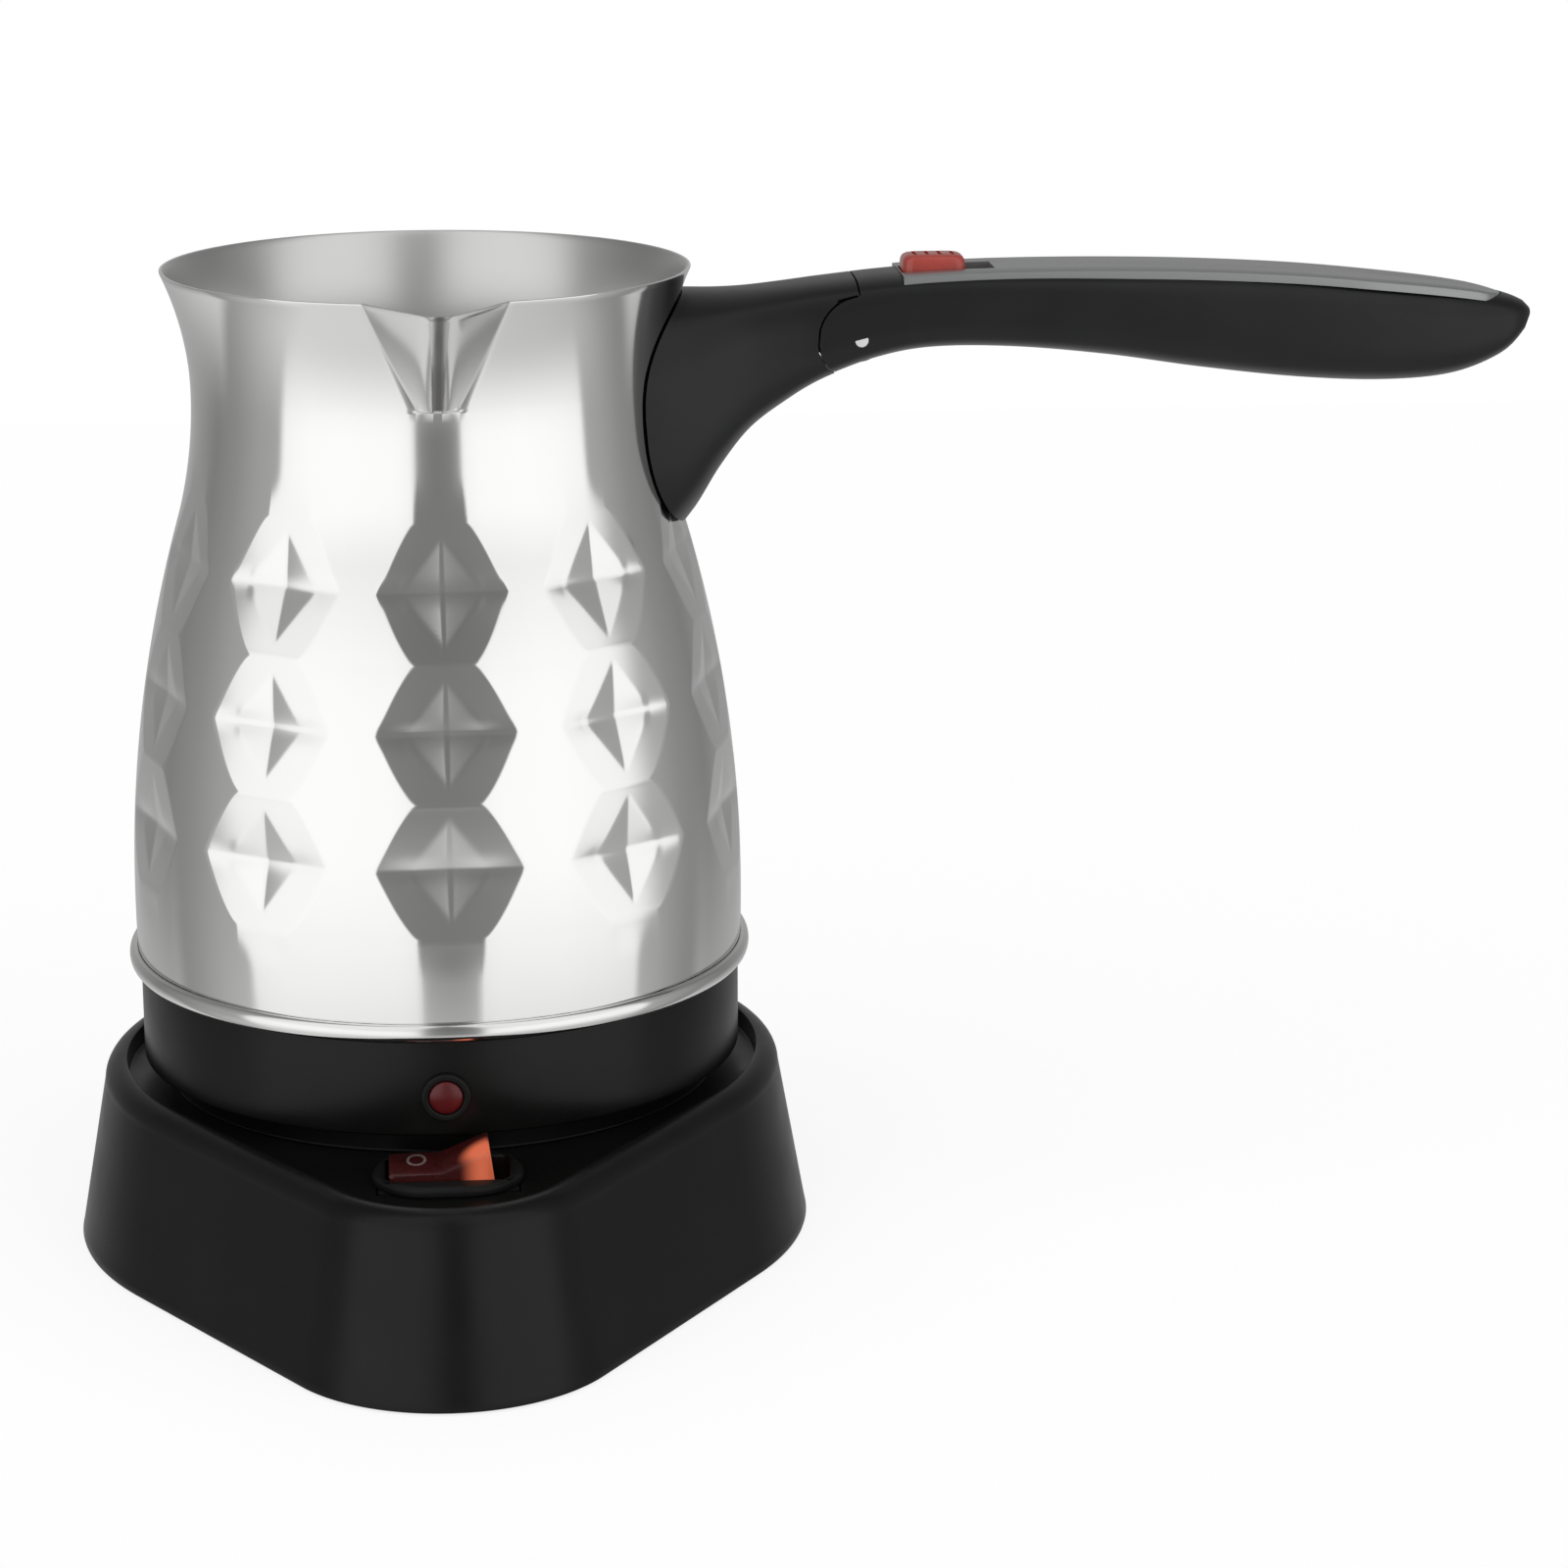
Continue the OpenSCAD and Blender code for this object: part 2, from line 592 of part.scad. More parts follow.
module pot_body() {
  rows = len(wall_rows);
  stations = columns * (len(column_steps) + 1);
  loop = 2 * rows;
  points = concat([for (z = wall_rows) each ring_points(z, 0)],
                  [for (k = [rows - 1:-1:0]) each ring_points(wall_rows[k], sheet)]);
  per = len(column_steps) + 1;
  // The diagonal of each patch follows the diamonds' edges
  function rising(k, j) = let (
      row = k < rows ? k : loop - 2 - k,
      upper = in_pattern((at(wall_rows, row) + at(wall_rows, row + 1)) / 2)
              ? row_half(at(wall_rows, row), at(wall_rows, row + 1)) : 1,
      right = (j % per) < 2 ? -1 : 1
    ) upper * right * (k < rows ? 1 : -1) > 0;
  function row_half(z0, z1) = let (m = ((z0 + z1) / 2 - pattern_foot) / diamond_h)
    m - floor(m) < 0.5 ? 1 : -1;
  faces = [for (k = [0:loop - 1], j = [0:stations - 1], part = [0, 1])
    let (a = k * stations + j, b = k * stations + (j + 1) % stations,
         c = ((k + 1) % loop) * stations + j, d = ((k + 1) % loop) * stations + (j + 1) % stations)
    rising(k, j) ? (part == 0 ? [a, c, b] : [c, d, b]) : (part == 0 ? [a, c, d] : [a, d, b])];
  color(steel) rotate(front_turn) polyhedron(points, faces);
}

module pot_floor() {
  color(steel) difference() {
    translate([0, 0, floor_z]) cylinder(h = floor_t, r = wall_r(wall_foot));
    translate([0, 0, floor_z + floor_t - 0.3]) cylinder(h = 1, r = heater_r * 0.6);
  }
}

module seam_ring() {
  lip_in = wall_r(seam_top) + 0.25;
  crown = (seam_r - lip_in) / 2;
  color(steel) rotate_extrude() {
    translate([seam_r - 4, seam_foot]) square([4 - crown, seam_flange_t]);
    translate([lip_in, seam_foot]) square([crown, seam_top - seam_foot - crown]);
    translate([seam_r - crown, seam_foot + crown]) circle(r = crown, $fn = 24);
    translate([seam_r - crown, seam_top - crown]) circle(r = crown, $fn = 24);
    translate([seam_r - crown, seam_foot + crown]) square([crown, seam_top - seam_foot - 2 * crown]);
  }
}

module floor_gasket() {
  color([0.75, 0.30, 0.22]) translate([0, 0, collar_top + seat / 2]) difference() {
    cylinder(h = floor_z - collar_top - seat, r = seam_r - 4.2);
    translate([0, 0, -1]) cylinder(h = 4, r = collar_boss_ring + 0.4);
  }
}

module heater_plate() {
  color([0.72, 0.73, 0.75]) translate([0, 0, heater_z]) cylinder(h = heater_t, r = heater_r);
}

module heating_element() {
  color([0.50, 0.50, 0.48]) {
    translate([0, 0, element_z]) rotate(90 + cold_pin_angle)
      rotate_extrude(angle = 360 - 2 * cold_pin_angle)
        translate([element_r, 0]) circle(r = element_tube_r, $fn = 32);
    for (side = [-1, 1]) rotate(90 + side * cold_pin_angle)
      translate([element_r, side * 0.6, element_z - 4.2])
        cylinder(h = 4.2, r = 1.6, $fn = 24);
  }
}

module thermostat() {
  color([0.85, 0.82, 0.74]) translate([thermostat_place[0], thermostat_place[1], 0]) {
    translate([0, 0, heater_z - seat - 1.4]) cylinder(h = 1.4, r = 6.6, $fn = 48);
    translate([0, 0, heater_z - seat - 6]) cylinder(h = 4.8, r = 5.6, $fn = 48);
    for (side = [-1, 1]) translate([side * 3.2 - 0.4, -1.8, heater_z - seat - 8])
      cube([0.8, 3.6, 2.2]);
  }
}

module thermal_fuse() {
  color([0.70, 0.68, 0.60]) translate([fuse_place[0], fuse_place[1], heater_z - seat - 2])
    rotate([90, 0, 30]) {
      cylinder(h = 10, r = 2, center = true, $fn = 32);
      cylinder(h = 16, r = 0.5, center = true, $fn = 16);
    }
}

module pot_collar() {
  plate_top_z = plate_gap_h + collar_plate_t + seat;
  color(black) difference() {
    union() {
      difference() {
        translate([0, 0, collar_foot_h]) cylinder(h = collar_top - collar_foot_h, r = collar_r);
        translate([0, 0, collar_foot_h - 1])
          cylinder(h = collar_top - collar_flange_t - collar_foot_h + 1, r = collar_in);
        cylinder(h = 100, r = collar_boss_ring);
      }
      for (a = collar_boss_angles) rotate(a)
        translate([collar_boss_ring, 0, plate_top_z]) {
          cylinder(h = collar_top - collar_flange_t - plate_top_z + eps, r = collar_boss_r,
                   $fn = 32);
          translate([0, -1.5, 0]) cube([collar_in - collar_boss_ring + 0.5, 3,
                                        collar_top - collar_flange_t - plate_top_z + eps]);
        }
    }
    for (a = collar_boss_angles) rotate(a) translate([collar_boss_ring, 0, plate_top_z - 1])
      cylinder(h = 8, r = screw_r - 0.2, $fn = 32);
    translate([0, 0, lamp_h]) rotate([90, 0, 0]) cylinder(h = 80, r = lens_d / 2 + 0.9, $fn = 48);
  }
}

module collar_bottom() {
  color(black) difference() {
    translate([0, 0, plate_gap_h]) cylinder(h = collar_plate_t, r = collar_in - gap);
    translate([0, 0, plate_gap_h - 1]) cylinder(h = 5, r = post_r + 5.9);
    for (a = collar_boss_angles) rotate(a) translate([collar_boss_ring, 0, plate_gap_h - 1]) {
      cylinder(h = 4, r = screw_r, $fn = 32);
      cylinder(h = 2.1, r = 2.8, $fn = 32);
    }
    translate([-5, -collar_r, plate_gap_h - 1]) cube([10, 12, 5]);
  }
}

module collar_screws() {
  color(steel) for (a = collar_boss_angles) rotate(a)
    translate([collar_boss_ring, 0, plate_gap_h + 1.1]) screw_up(screw_r - 0.25, 7.2, 2.6, 1);
}

module pot_connector() {
  socket_r = post_r + 5.6;
  ceiling = post_h + 0.8;
  color([0.16, 0.16, 0.17]) difference() {
    union() {
      translate([0, 0, plate_gap_h]) cylinder(h = ceiling + 1.4 - plate_gap_h, r = socket_r);
      translate([0, 0, plate_gap_h + collar_plate_t + seat]) cylinder(h = 1.8, r = socket_r + 4);
    }
    translate([0, 0, plate_gap_h - 1]) cylinder(h = ceiling - plate_gap_h + 1, r = post_r + 0.6);
    translate([0, 0, ceiling - 1]) cylinder(h = 4, r = 1, $fn = 24);
  }
}

module pot_contacts() {
  ceiling = post_h + 0.8 - seat;
  color(brass) {
    translate([0, 0, ceiling - 6]) difference() {
      cylinder(h = 6, r = post_bore_r - gap, $fn = 48);
      translate([0, 0, -1]) cylinder(h = 6, r = centre_pin_r + gap, $fn = 48);
    }
    translate([0, 0, ceiling - 6]) difference() {
      cylinder(h = 6, r = groove_out - 0.9);
      translate([0, 0, -1]) cylinder(h = 8, r = groove_in + gap);
    }
  }
}

module lamp_bezel() {
  color([0.10, 0.10, 0.10]) translate([0, 0, lamp_h]) rotate([90, 0, 0]) difference() {
    union() {
      translate([0, 0, collar_r + 0.05])
        cylinder(h = 0.9, r1 = bezel_ring_r, r2 = bezel_ring_r - 0.4, $fn = 64);
      translate([0, 0, collar_r - 5.5]) cylinder(h = 6, r = lens_d / 2 + 0.6, $fn = 48);
    }
    translate([0, 0, collar_r - 6]) cylinder(h = 10, r = lens_d / 2 + 0.1, $fn = 48);
  }
}

module lamp_lens() {
  dome = 1.2;
  color([0.75, 0.06, 0.06]) translate([0, 0, lamp_h]) rotate([90, 0, 0]) {
    translate([0, 0, collar_r - 4]) cylinder(h = 4.6, d = lens_d, $fn = 48);
    translate([0, 0, collar_r + 0.6])
      cylinder(h = dome / 2, d1 = lens_d, d2 = lens_d * 0.8, $fn = 48);
  }
}

module lamp_bulb() {
  color([0.90, 0.55, 0.40]) translate([0, 0, lamp_h]) rotate([90, 0, 0]) {
    translate([0, 0, collar_r - 12]) cylinder(h = 7.8, r = 1.7, $fn = 32);
    for (side = [-1, 1]) translate([side * 0.8, 0, collar_r - 15])
      cylinder(h = 3 + eps, r = 0.3, $fn = 16);
  }
}

module pot_leads() {
  low = plate_gap_h + collar_plate_t + 2.2;
  tip = element_z - 5.4;
  cold = [element_r * sin(cold_pin_angle), element_r * cos(cold_pin_angle)];
  color([0.80, 0.78, 0.70]) {
    wire(route([[-7, 14, low + 1.4], [-9, 20, low + 0.4], [-cold[0] - 0.4, cold[1], tip]]), 0.8);
    wire(route([[7, 14, low + 1.4], [9, 20, low + 0.4], [cold[0] + 0.4, cold[1], tip]]), 0.8);
    wire(route([[-1, -19, low + 1.2], [-1.4, -28, low + 1], [-0.8, -34.5, lamp_h]]), 0.6);
    wire(route([[3, -19, low + 1.2], [2.6, -28, low + 1], [0.9, -34.5, lamp_h]]), 0.6);
  }
}

// ================= handle

module handle_bracket() {
  color(steel) difference() {
    union() {
      intersection() {
        rotate_extrude() polygon(concat(
          [for (z = [bracket_foot_h:2:bracket_head_h + 1]) [wall_r(z) + weld_gap, z]],
          [for (z = [bracket_head_h + 1:-2:bracket_foot_h]) [wall_r(z) + weld_gap + bracket_t, z]]));
        translate([0, -bracket_half, bracket_foot_h])
          cube([wall_x + 10, 2 * bracket_half, bracket_head_h - bracket_foot_h]);
      }
      translate([wall_x + bracket_t / 2, -bracket_half, tab_z])
        cube([tab_x1 - wall_x - bracket_t / 2, 2 * bracket_half, tab_t]);
    }
    for (x = neck_screw_x) translate([x, 0, tab_z - 1])
      cylinder(h = 4, r = neck_screw_r + 0.2, $fn = 32);
  }
}

// Right-hand limit of the neck: the sloping seam, then an arc round the hinge pin
module neck_end_cut() {
  half = grip_half + 10;
  translate([pin_x, 0, pin_h]) rotate([90, 0, 0])
    cylinder(h = 2 * half, r = lobe_r + gap, center = true);
  rotate([90, 0, 0]) linear_extrude(height = 2 * half, center = true)
    polygon([[seam_low_x - gap, pin_h], [seam_low_x - gap, seam_low_h],
             [seam_top_x - gap, handle_top], [pin_x + 30, handle_top], [pin_x + 30, handle_foot],
             [pin_x - 4, handle_foot], [pin_x - 4, pin_h]]);
}

module handle_neck() {
  color(black) difference() {
    union() {
      difference() {
        handle_skin(neck_stations);
        neck_end_cut();
      }
      intersection() {
        handle_skin(neck_stations);
        translate([0, -tongue_half, pin_h - 2]) cube([pin_x, 2 * tongue_half, lobe_r + 1]);
      }
      translate([pin_x, 0, pin_h]) rotate([90, 0, 0])
        cylinder(h = 2 * tongue_half, r = knuckle_r, center = true);
    }
    rotate_extrude() polygon(concat([[0, neck_foot_h]],
      [for (z = [neck_foot_h:4:rim_h + 6]) [wall_r(min(z, rim_h)) + gap, z]], [[0, rim_h + 6]]));
    translate([0, -bracket_half - gap, bracket_foot_h - gap])
      cube([bracket_room, 2 * (bracket_half + gap), bracket_head_h - bracket_foot_h + 2 * gap]);
    translate([0, -bracket_half - gap, tab_z - gap])
      cube([tab_x1 + gap, 2 * (bracket_half + gap), tab_t + 2 * gap]);
    for (x = neck_screw_x) translate([x, 0, 0]) {
      translate([0, 0, neck_foot_h]) cylinder(h = tab_z - neck_foot_h, r = 3.1, $fn = 32);
      translate([0, 0, tab_z]) cylinder(h = 9.5, r = neck_screw_r + running, $fn = 32);
    }
    translate([pin_x, 0, pin_h]) rotate([90, 0, 0])
      cylinder(h = 40, r = pin_r + running, center = true, $fn = 48);
    translate([pin_x, 0, pin_h]) bolt_sweep();
  }
}

// Room round the knuckle for the bolt's nose while the grip folds
module bolt_sweep() {
  half = bolt_half + gap;
  intersection() {
    rotate([90, 0, 0]) difference() {
      cylinder(h = 2 * half, r = knuckle_r + 1, center = true);
      cylinder(h = 3 * half, r = bolt_tip_x - pin_x - gap, center = true);
    }
    translate([-2.4, -half, -10]) cube([20, 2 * half, 10 + bolt_z - pin_h + bolt_t + gap]);
  }
}

module neck_screws() {
  color(steel) for (x = neck_screw_x) translate([x, 0, tab_z - seat])
    screw_up(neck_screw_r, 9, 2.7, 1.8);
}

module hinge_pin() {
  color(steel) translate([pin_x, 0, pin_h]) rotate([90, 0, 0])
    cylinder(h = 2 * grip_half - 0.1, r = pin_r, center = true, $fn = 48);
}

// Left-hand limit of the grip: the sloping seam, then the lobe round the hinge pin
module grip_end_shape() {
  half = grip_half + 10;
  rotate([90, 0, 0]) linear_extrude(height = 2 * half, center = true)
    polygon([[pin_x, handle_foot], [pin_x, seam_low_h], [seam_low_x, seam_low_h],
             [seam_top_x, handle_top], [handle_reach + 20, handle_top],
             [handle_reach + 20, handle_foot]]);
  translate([pin_x, 0, pin_h]) rotate([90, 0, 0]) cylinder(h = 2 * half, r = lobe_r, center = true);
}

// Stations of the trim strip and of the recess it lies in
function trim_stations(extra, side) = [
  for (k = [0:10])
    let (x = trim_x0 + k * (trim_x1 - trim_x0) / 10 + (k == 0 ? -extra : k == 10 ? extra : 0))
      [x, grip_at(x, 1), min(grip_half, grip_at(x, 3)) - trim_inset - (k == 10 ? 1 : 0) + side]];

module trim_strip(extra, side, top, depth) {
  skin([for (s = trim_stations(extra, side))
    [[s[0], s[2], s[1] - depth], [s[0], s[2], s[1] + top],
     [s[0], -s[2], s[1] + top], [s[0], -s[2], s[1] - depth]]]);
}

module grip_room() {
  first = latch_room_x1 + 3;
  last = handle_reach - 16;
  skin([for (k = [0:8]) let (x = first + k * (last - first) / 8, half = grip_at(x, 3) - 3.4)
    [[x, half, grip_at(x, 2) + grip_shell + 0.6], [x, half, handle_top],
     [x, -half, handle_top], [x, -half, grip_at(x, 2) + grip_shell + 0.6]]]);
}

module grip_body() {
  floor_h = grip_at(pin_x + 12, 2) + 1.2;
  color(black) difference() {
    intersection() {
      handle_skin(grip_stations);
      grip_end_shape();
    }
    trim_strip(0.15, 0.15, 6, trim_t);
    difference() {
      grip_room();
      for (x = trim_screw_x) translate([x, 0, handle_foot])
        cylinder(h = post_top - handle_foot, r = 3.2, $fn = 32);
    }
    for (x = trim_screw_x) translate([x, 0, 0]) {
      translate([0, 0, handle_foot]) cylinder(h = 60, r = post_screw_r + 0.2, $fn = 32);
      translate([0, 0, handle_foot])
        cylinder(h = grip_at(x, 2) + trim_screw_in - handle_foot, r = 2.4, $fn = 32);
    }
    translate([latch_room_x0, -4.2, floor_h])
      cube([latch_room_x1 - latch_room_x0, 8.4, 30]);
    translate([pin_x, -bolt_half - gap, bolt_z - gap])
      cube([20, 2 * (bolt_half + gap), bolt_t + 2 * gap]);
    translate([pin_x, 0, pin_h]) rotate([90, 0, 0])
      cylinder(h = 2 * channel_half, r = knuckle_r + 0.4, center = true);
    translate([pin_x - 20, -channel_half, handle_foot])
      cube([20, 2 * channel_half, seam_low_h - handle_foot]);
    translate([pin_x, 0, pin_h]) rotate([90, 0, 0])
      cylinder(h = 40, r = pin_r + running, center = true, $fn = 48);
  }
}

module grip_trim() {
  color([0.42, 0.43, 0.44]) difference() {
    union() {
      trim_strip(0, 0, 0, trim_t - seat);
      for (x = trim_screw_x) translate([x, 0, post_top + seat])
        cylinder(h = grip_at(x, 1) - 1 - post_top - seat, r = 2.4, $fn = 32);
    }
    translate([button_x - gap, -button_w / 2 - gap, pin_h])
      cube([button_slot_l, button_w + 2 * gap, 20]);
    for (x = trim_screw_x) translate([x, 0, post_top - 1])
      cylinder(h = post_screw_l + 1.4, r = post_screw_r + running, $fn = 32);
  }
}

module trim_screws() {
  color(steel) for (x = trim_screw_x)
    let (seat_h = grip_at(x, 2) + trim_screw_in - seat)
      translate([x, 0, seat_h]) screw_up(post_screw_r, post_top + post_screw_l - seat_h, 2.1, 1.2);
}

// ================= latch

module latch_button() {
  button_top = grip_at(button_x + button_l / 2, 1) + button_rise;
  stem_foot = bolt_z + bolt_t + seat;
  base_h = grip_at(button_x, 1) - trim_t + 0.4;
  color([0.78, 0.14, 0.12]) difference() {
    union() {
      translate([button_x, -button_w / 2, base_h])
        cube([button_l, button_w, button_top - base_h - 0.6]);
      translate([button_x + 0.6, -button_w / 2 + 0.6, base_h])
        cube([button_l - 1.2, button_w - 1.2, button_top - base_h]);
      translate([stem_x, -2.6, stem_foot]) cube([stem_l, 5.2, base_h - stem_foot + eps]);
    }
    for (k = [1:4])
      translate([button_x + k * button_l / 5 - 0.3, -button_w / 2 + 1.4, button_top - 0.4])
        cube([0.6, button_w - 2.8, 1]);
  }
}

module latch_bolt() {
  color(steel) {
    translate([bolt_tip_x, -bolt_half, bolt_z]) cube([bolt_end_x - bolt_tip_x, 2 * bolt_half, bolt_t]);
    translate([bolt_end_x - 1.4, -bolt_half, bolt_z]) cube([1.4, 2 * bolt_half, 6]);
  }
}

module latch_spring() {
  wire_r = 0.3;
  coil_r = 1.6;
  turns = 5;
  length = latch_room_x1 - bolt_end_x - 2 * seat - 2 * wire_r;
  steps = turns * 10;
  color(steel) translate([bolt_end_x + seat + wire_r, 0, bolt_z + 4.4])
    skin([for (k = [0:steps]) let (a = 360 * turns * k / steps, x = length * k / steps)
      [for (b = [0:60:300]) [x + wire_r * cos(b),
        (coil_r + wire_r * sin(b)) * cos(a), (coil_r + wire_r * sin(b)) * sin(a)]]]);
}

base_housing();
base_bottom_plate();
rubber_feet();
bottom_screws();
base_connector();
base_contacts();
connector_screws();
switch_housing();
switch_terminals();
cord_inlet_bush();
base_leads();
rocker();
pot_body();
pot_floor();
seam_ring();
floor_gasket();
heater_plate();
heating_element();
thermostat();
thermal_fuse();
pot_collar();
collar_bottom();
collar_screws();
pot_connector();
pot_contacts();
lamp_bezel();
lamp_lens();
lamp_bulb();
pot_leads();
handle_bracket();
handle_neck();
neck_screws();
hinge_pin();
grip_body();
grip_trim();
trim_screws();
latch_button();
latch_bolt();
latch_spring();
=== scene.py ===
"""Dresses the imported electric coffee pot: steel shell, black base, folding handle and studio.

Every size in the classes is in millimetres in the part's own frame: the origin is on the pot's
axis on the table, +X runs along the handle and -Y is the front. Meshes are scaled to metres
when they are made.
"""

import logging
import math
from dataclasses import dataclass, field
from enum import Enum
from functools import cache
from typing import Callable, Iterable, Sequence

import bmesh
import bpy
import numpy as np
from mathutils import Matrix, Vector


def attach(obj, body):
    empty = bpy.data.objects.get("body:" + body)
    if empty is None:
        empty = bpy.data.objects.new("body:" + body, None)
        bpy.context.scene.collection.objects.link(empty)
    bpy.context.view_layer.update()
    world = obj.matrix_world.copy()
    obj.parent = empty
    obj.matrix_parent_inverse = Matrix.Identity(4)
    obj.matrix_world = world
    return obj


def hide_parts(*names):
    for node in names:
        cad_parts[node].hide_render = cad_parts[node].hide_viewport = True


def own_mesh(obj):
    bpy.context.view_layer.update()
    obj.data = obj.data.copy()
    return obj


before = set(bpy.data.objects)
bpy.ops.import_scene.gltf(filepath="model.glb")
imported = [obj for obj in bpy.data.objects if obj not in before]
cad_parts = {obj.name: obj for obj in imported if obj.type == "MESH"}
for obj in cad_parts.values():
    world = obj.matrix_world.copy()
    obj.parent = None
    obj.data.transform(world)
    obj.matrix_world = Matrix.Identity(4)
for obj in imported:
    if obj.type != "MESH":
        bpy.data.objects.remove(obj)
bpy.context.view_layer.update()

MM = 0.001
TURN_SCALE = 4.0  # millimetres of a turned finish's coordinates in a radian
DRAWN_SCALE = 0.05  # how much a drawn finish's marks are stretched
COAT_ROUGHNESS = 0.12
log = logging.getLogger("coffee_pot")
Point = Sequence[float]
Profile = list[tuple[float, float]]
Colour = tuple[float, float, float]
Shape = tuple[np.ndarray | list, list]
Socket = bpy.types.NodeSocket
Piece = bpy.types.Object


# ---- node graphs and finishes


class Graph:
    """A node tree with short calls for adding and joining its nodes."""

    def __init__(self, tree: bpy.types.NodeTree) -> None:
        """Takes the tree to fill and empties it."""
        self.tree = tree
        tree.nodes.clear()

    def add(self, kind: str, inputs: dict | None = None, **settings: object) -> bpy.types.Node:
        """Adds one node.

        Args:
            kind: Blender's type name of the node.
            inputs: Values or sockets for its inputs, by name or number.
            settings: Properties of the node itself.

        Returns:
            The new node.
        """
        node = self.tree.nodes.new(kind)
        for name, value in settings.items():
            setattr(node, name, value)
        for key, value in (inputs or {}).items():
            if isinstance(value, Socket):
                self.tree.links.new(value, node.inputs[key])
            else:
                node.inputs[key].default_value = value
        return node

    def math(self, operation: str, first: object, second: object = 0.0,
             third: object = 0.0) -> Socket:
        """Works out one operation on up to three values or sockets."""
        values = {0: first, 1: second, 2: third}
        return self.add("ShaderNodeMath", values, operation=operation).outputs[0]

    def axes(self, spot: Socket) -> Sequence[Socket]:
        """Splits a vector into X, Y and Z."""
        return self.add("ShaderNodeSeparateXYZ", {0: spot}).outputs

    def turn(self, axes: Sequence[Socket]) -> Socket:
        """Gives the angle round the pot's axis, from the front towards the handle."""
        return self.math("ARCTAN2", axes[0], self.math("MULTIPLY", axes[1], -1.0))

    def length(self, side: Socket, deep: Socket) -> Socket:
        """Gives the length of a flat vector."""
        flat = self.add("ShaderNodeCombineXYZ", {0: side, 1: deep}).outputs[0]
        return self.add("ShaderNodeVectorMath", {0: flat}, operation="LENGTH").outputs[1]

    def spread(self, value: object, low: float, high: float, to_low: float,
               to_high: float, soft: bool = False) -> Socket:
        """Maps a value from one range to another and clamps it, eased at both ends if soft."""
        kind = "SMOOTHSTEP" if soft else "LINEAR"
        return self.add("ShaderNodeMapRange", {0: value, 1: low, 2: high, 3: to_low, 4: to_high},
                        interpolation_type=kind).outputs[0]

    def blend(self, share: object, first: object, second: object) -> Socket:
        """Mixes two colours by the share of the second."""
        node = self.add("ShaderNodeMix", {0: share, 6: first, 7: second}, data_type="RGBA")
        return node.outputs[2]


class Grain(Enum):
    """Direction in which a finish's fine marks run."""

    EVEN = "even"
    TURNED = "turned round the pot's axis"
    DRAWN = "drawn along the handle"


@dataclass(frozen=True)
class Finish:
    """A surface finish with soft patches of tint and gloss and a fine relief."""

    name: str
    colour: Colour
    roughness: float = 0.4
    roughness_spread: float = 0.06
    tint_spread: float = 0.08
    patch: float = 9.0
    marks: float = 0.35
    relief: float = 0.004
    grain: Grain = Grain.EVEN
    metallic: float = 0.0
    specular: float = 0.5
    coat: float = 0.0

    def place(self, graph: Graph) -> Socket:
        """Gives the coordinates, in millimetres, that the marks follow.

        Args:
            graph: Graph of the material.

        Returns:
            A vector socket.
        """
        spot = graph.add("ShaderNodeTexCoord").outputs["Object"]
        if self.grain is Grain.TURNED:
            axes = graph.axes(spot)
            around = graph.math("MULTIPLY", graph.turn(axes), TURN_SCALE * MM)
            spot = graph.add("ShaderNodeCombineXYZ",
                             {0: around, 1: graph.length(axes[0], axes[1]),
                              2: axes[2]}).outputs[0]
        stretch = DRAWN_SCALE if self.grain is Grain.DRAWN else 1.0
        scale = [1 / MM * part for part in (stretch, 1.0, 1.0)]
        return graph.add("ShaderNodeMapping", {"Vector": spot, "Scale": scale}).outputs[0]

    def noise(self, graph: Graph, spot: Socket, size: float, detail: float = 3.0) -> Socket:
        """Adds noise whose features are about size millimetres wide."""
        return graph.add("ShaderNodeTexNoise", {"Vector": spot, "Scale": 1 / size,
                                                "Detail": detail}).outputs["Fac"]

    def colours(self, graph: Graph, spot: Socket) -> Socket:
        """Gives the colour, slightly darker in soft patches.

        Args:
            graph: Graph of the material.
            spot: Coordinates in millimetres.

        Returns:
            A colour socket.
        """
        dark = [part * (1 - self.tint_spread) for part in self.colour] + [1.0]
        light = [min(1.0, part * (1 + self.tint_spread)) for part in self.colour] + [1.0]
        patches = graph.spread(self.noise(graph, spot, self.patch), 0.3, 0.7, 0.0, 1.0)
        return graph.blend(patches, dark, light)

    def dress(self, graph: Graph, shader: bpy.types.Node) -> None:
        """Sets what only this finish has; the plain one needs nothing more."""

    def material(self) -> bpy.types.Material:
        """Builds the finish's material.

        Returns:
            A new node material.
        """
        material = bpy.data.materials.new(self.name)
        material.use_nodes = True
        graph = Graph(material.node_tree)
        spot = self.place(graph)
        fine = self.noise(graph, spot, self.marks, 2.0)
        coarse = self.noise(graph, spot, self.patch * 0.6)
        gloss = graph.spread(coarse, 0.3, 0.7, max(0.02, self.roughness - self.roughness_spread),
                             self.roughness + self.roughness_spread)
        bump = graph.add("ShaderNodeBump", {"Height": fine, "Distance": self.relief * MM,
                                            "Strength": 1.0}).outputs[0]
        shader = graph.add("ShaderNodeBsdfPrincipled",
                           {"Base Color": self.colours(graph, spot), "Roughness": gloss,
                            "Metallic": self.metallic, "Specular IOR Level": self.specular,
                            "Coat Weight": self.coat, "Coat Roughness": COAT_ROUGHNESS,
                            "Normal": bump})
        self.dress(graph, shader)
        graph.add("ShaderNodeOutputMaterial", {"Surface": shader.outputs[0]})
        return material


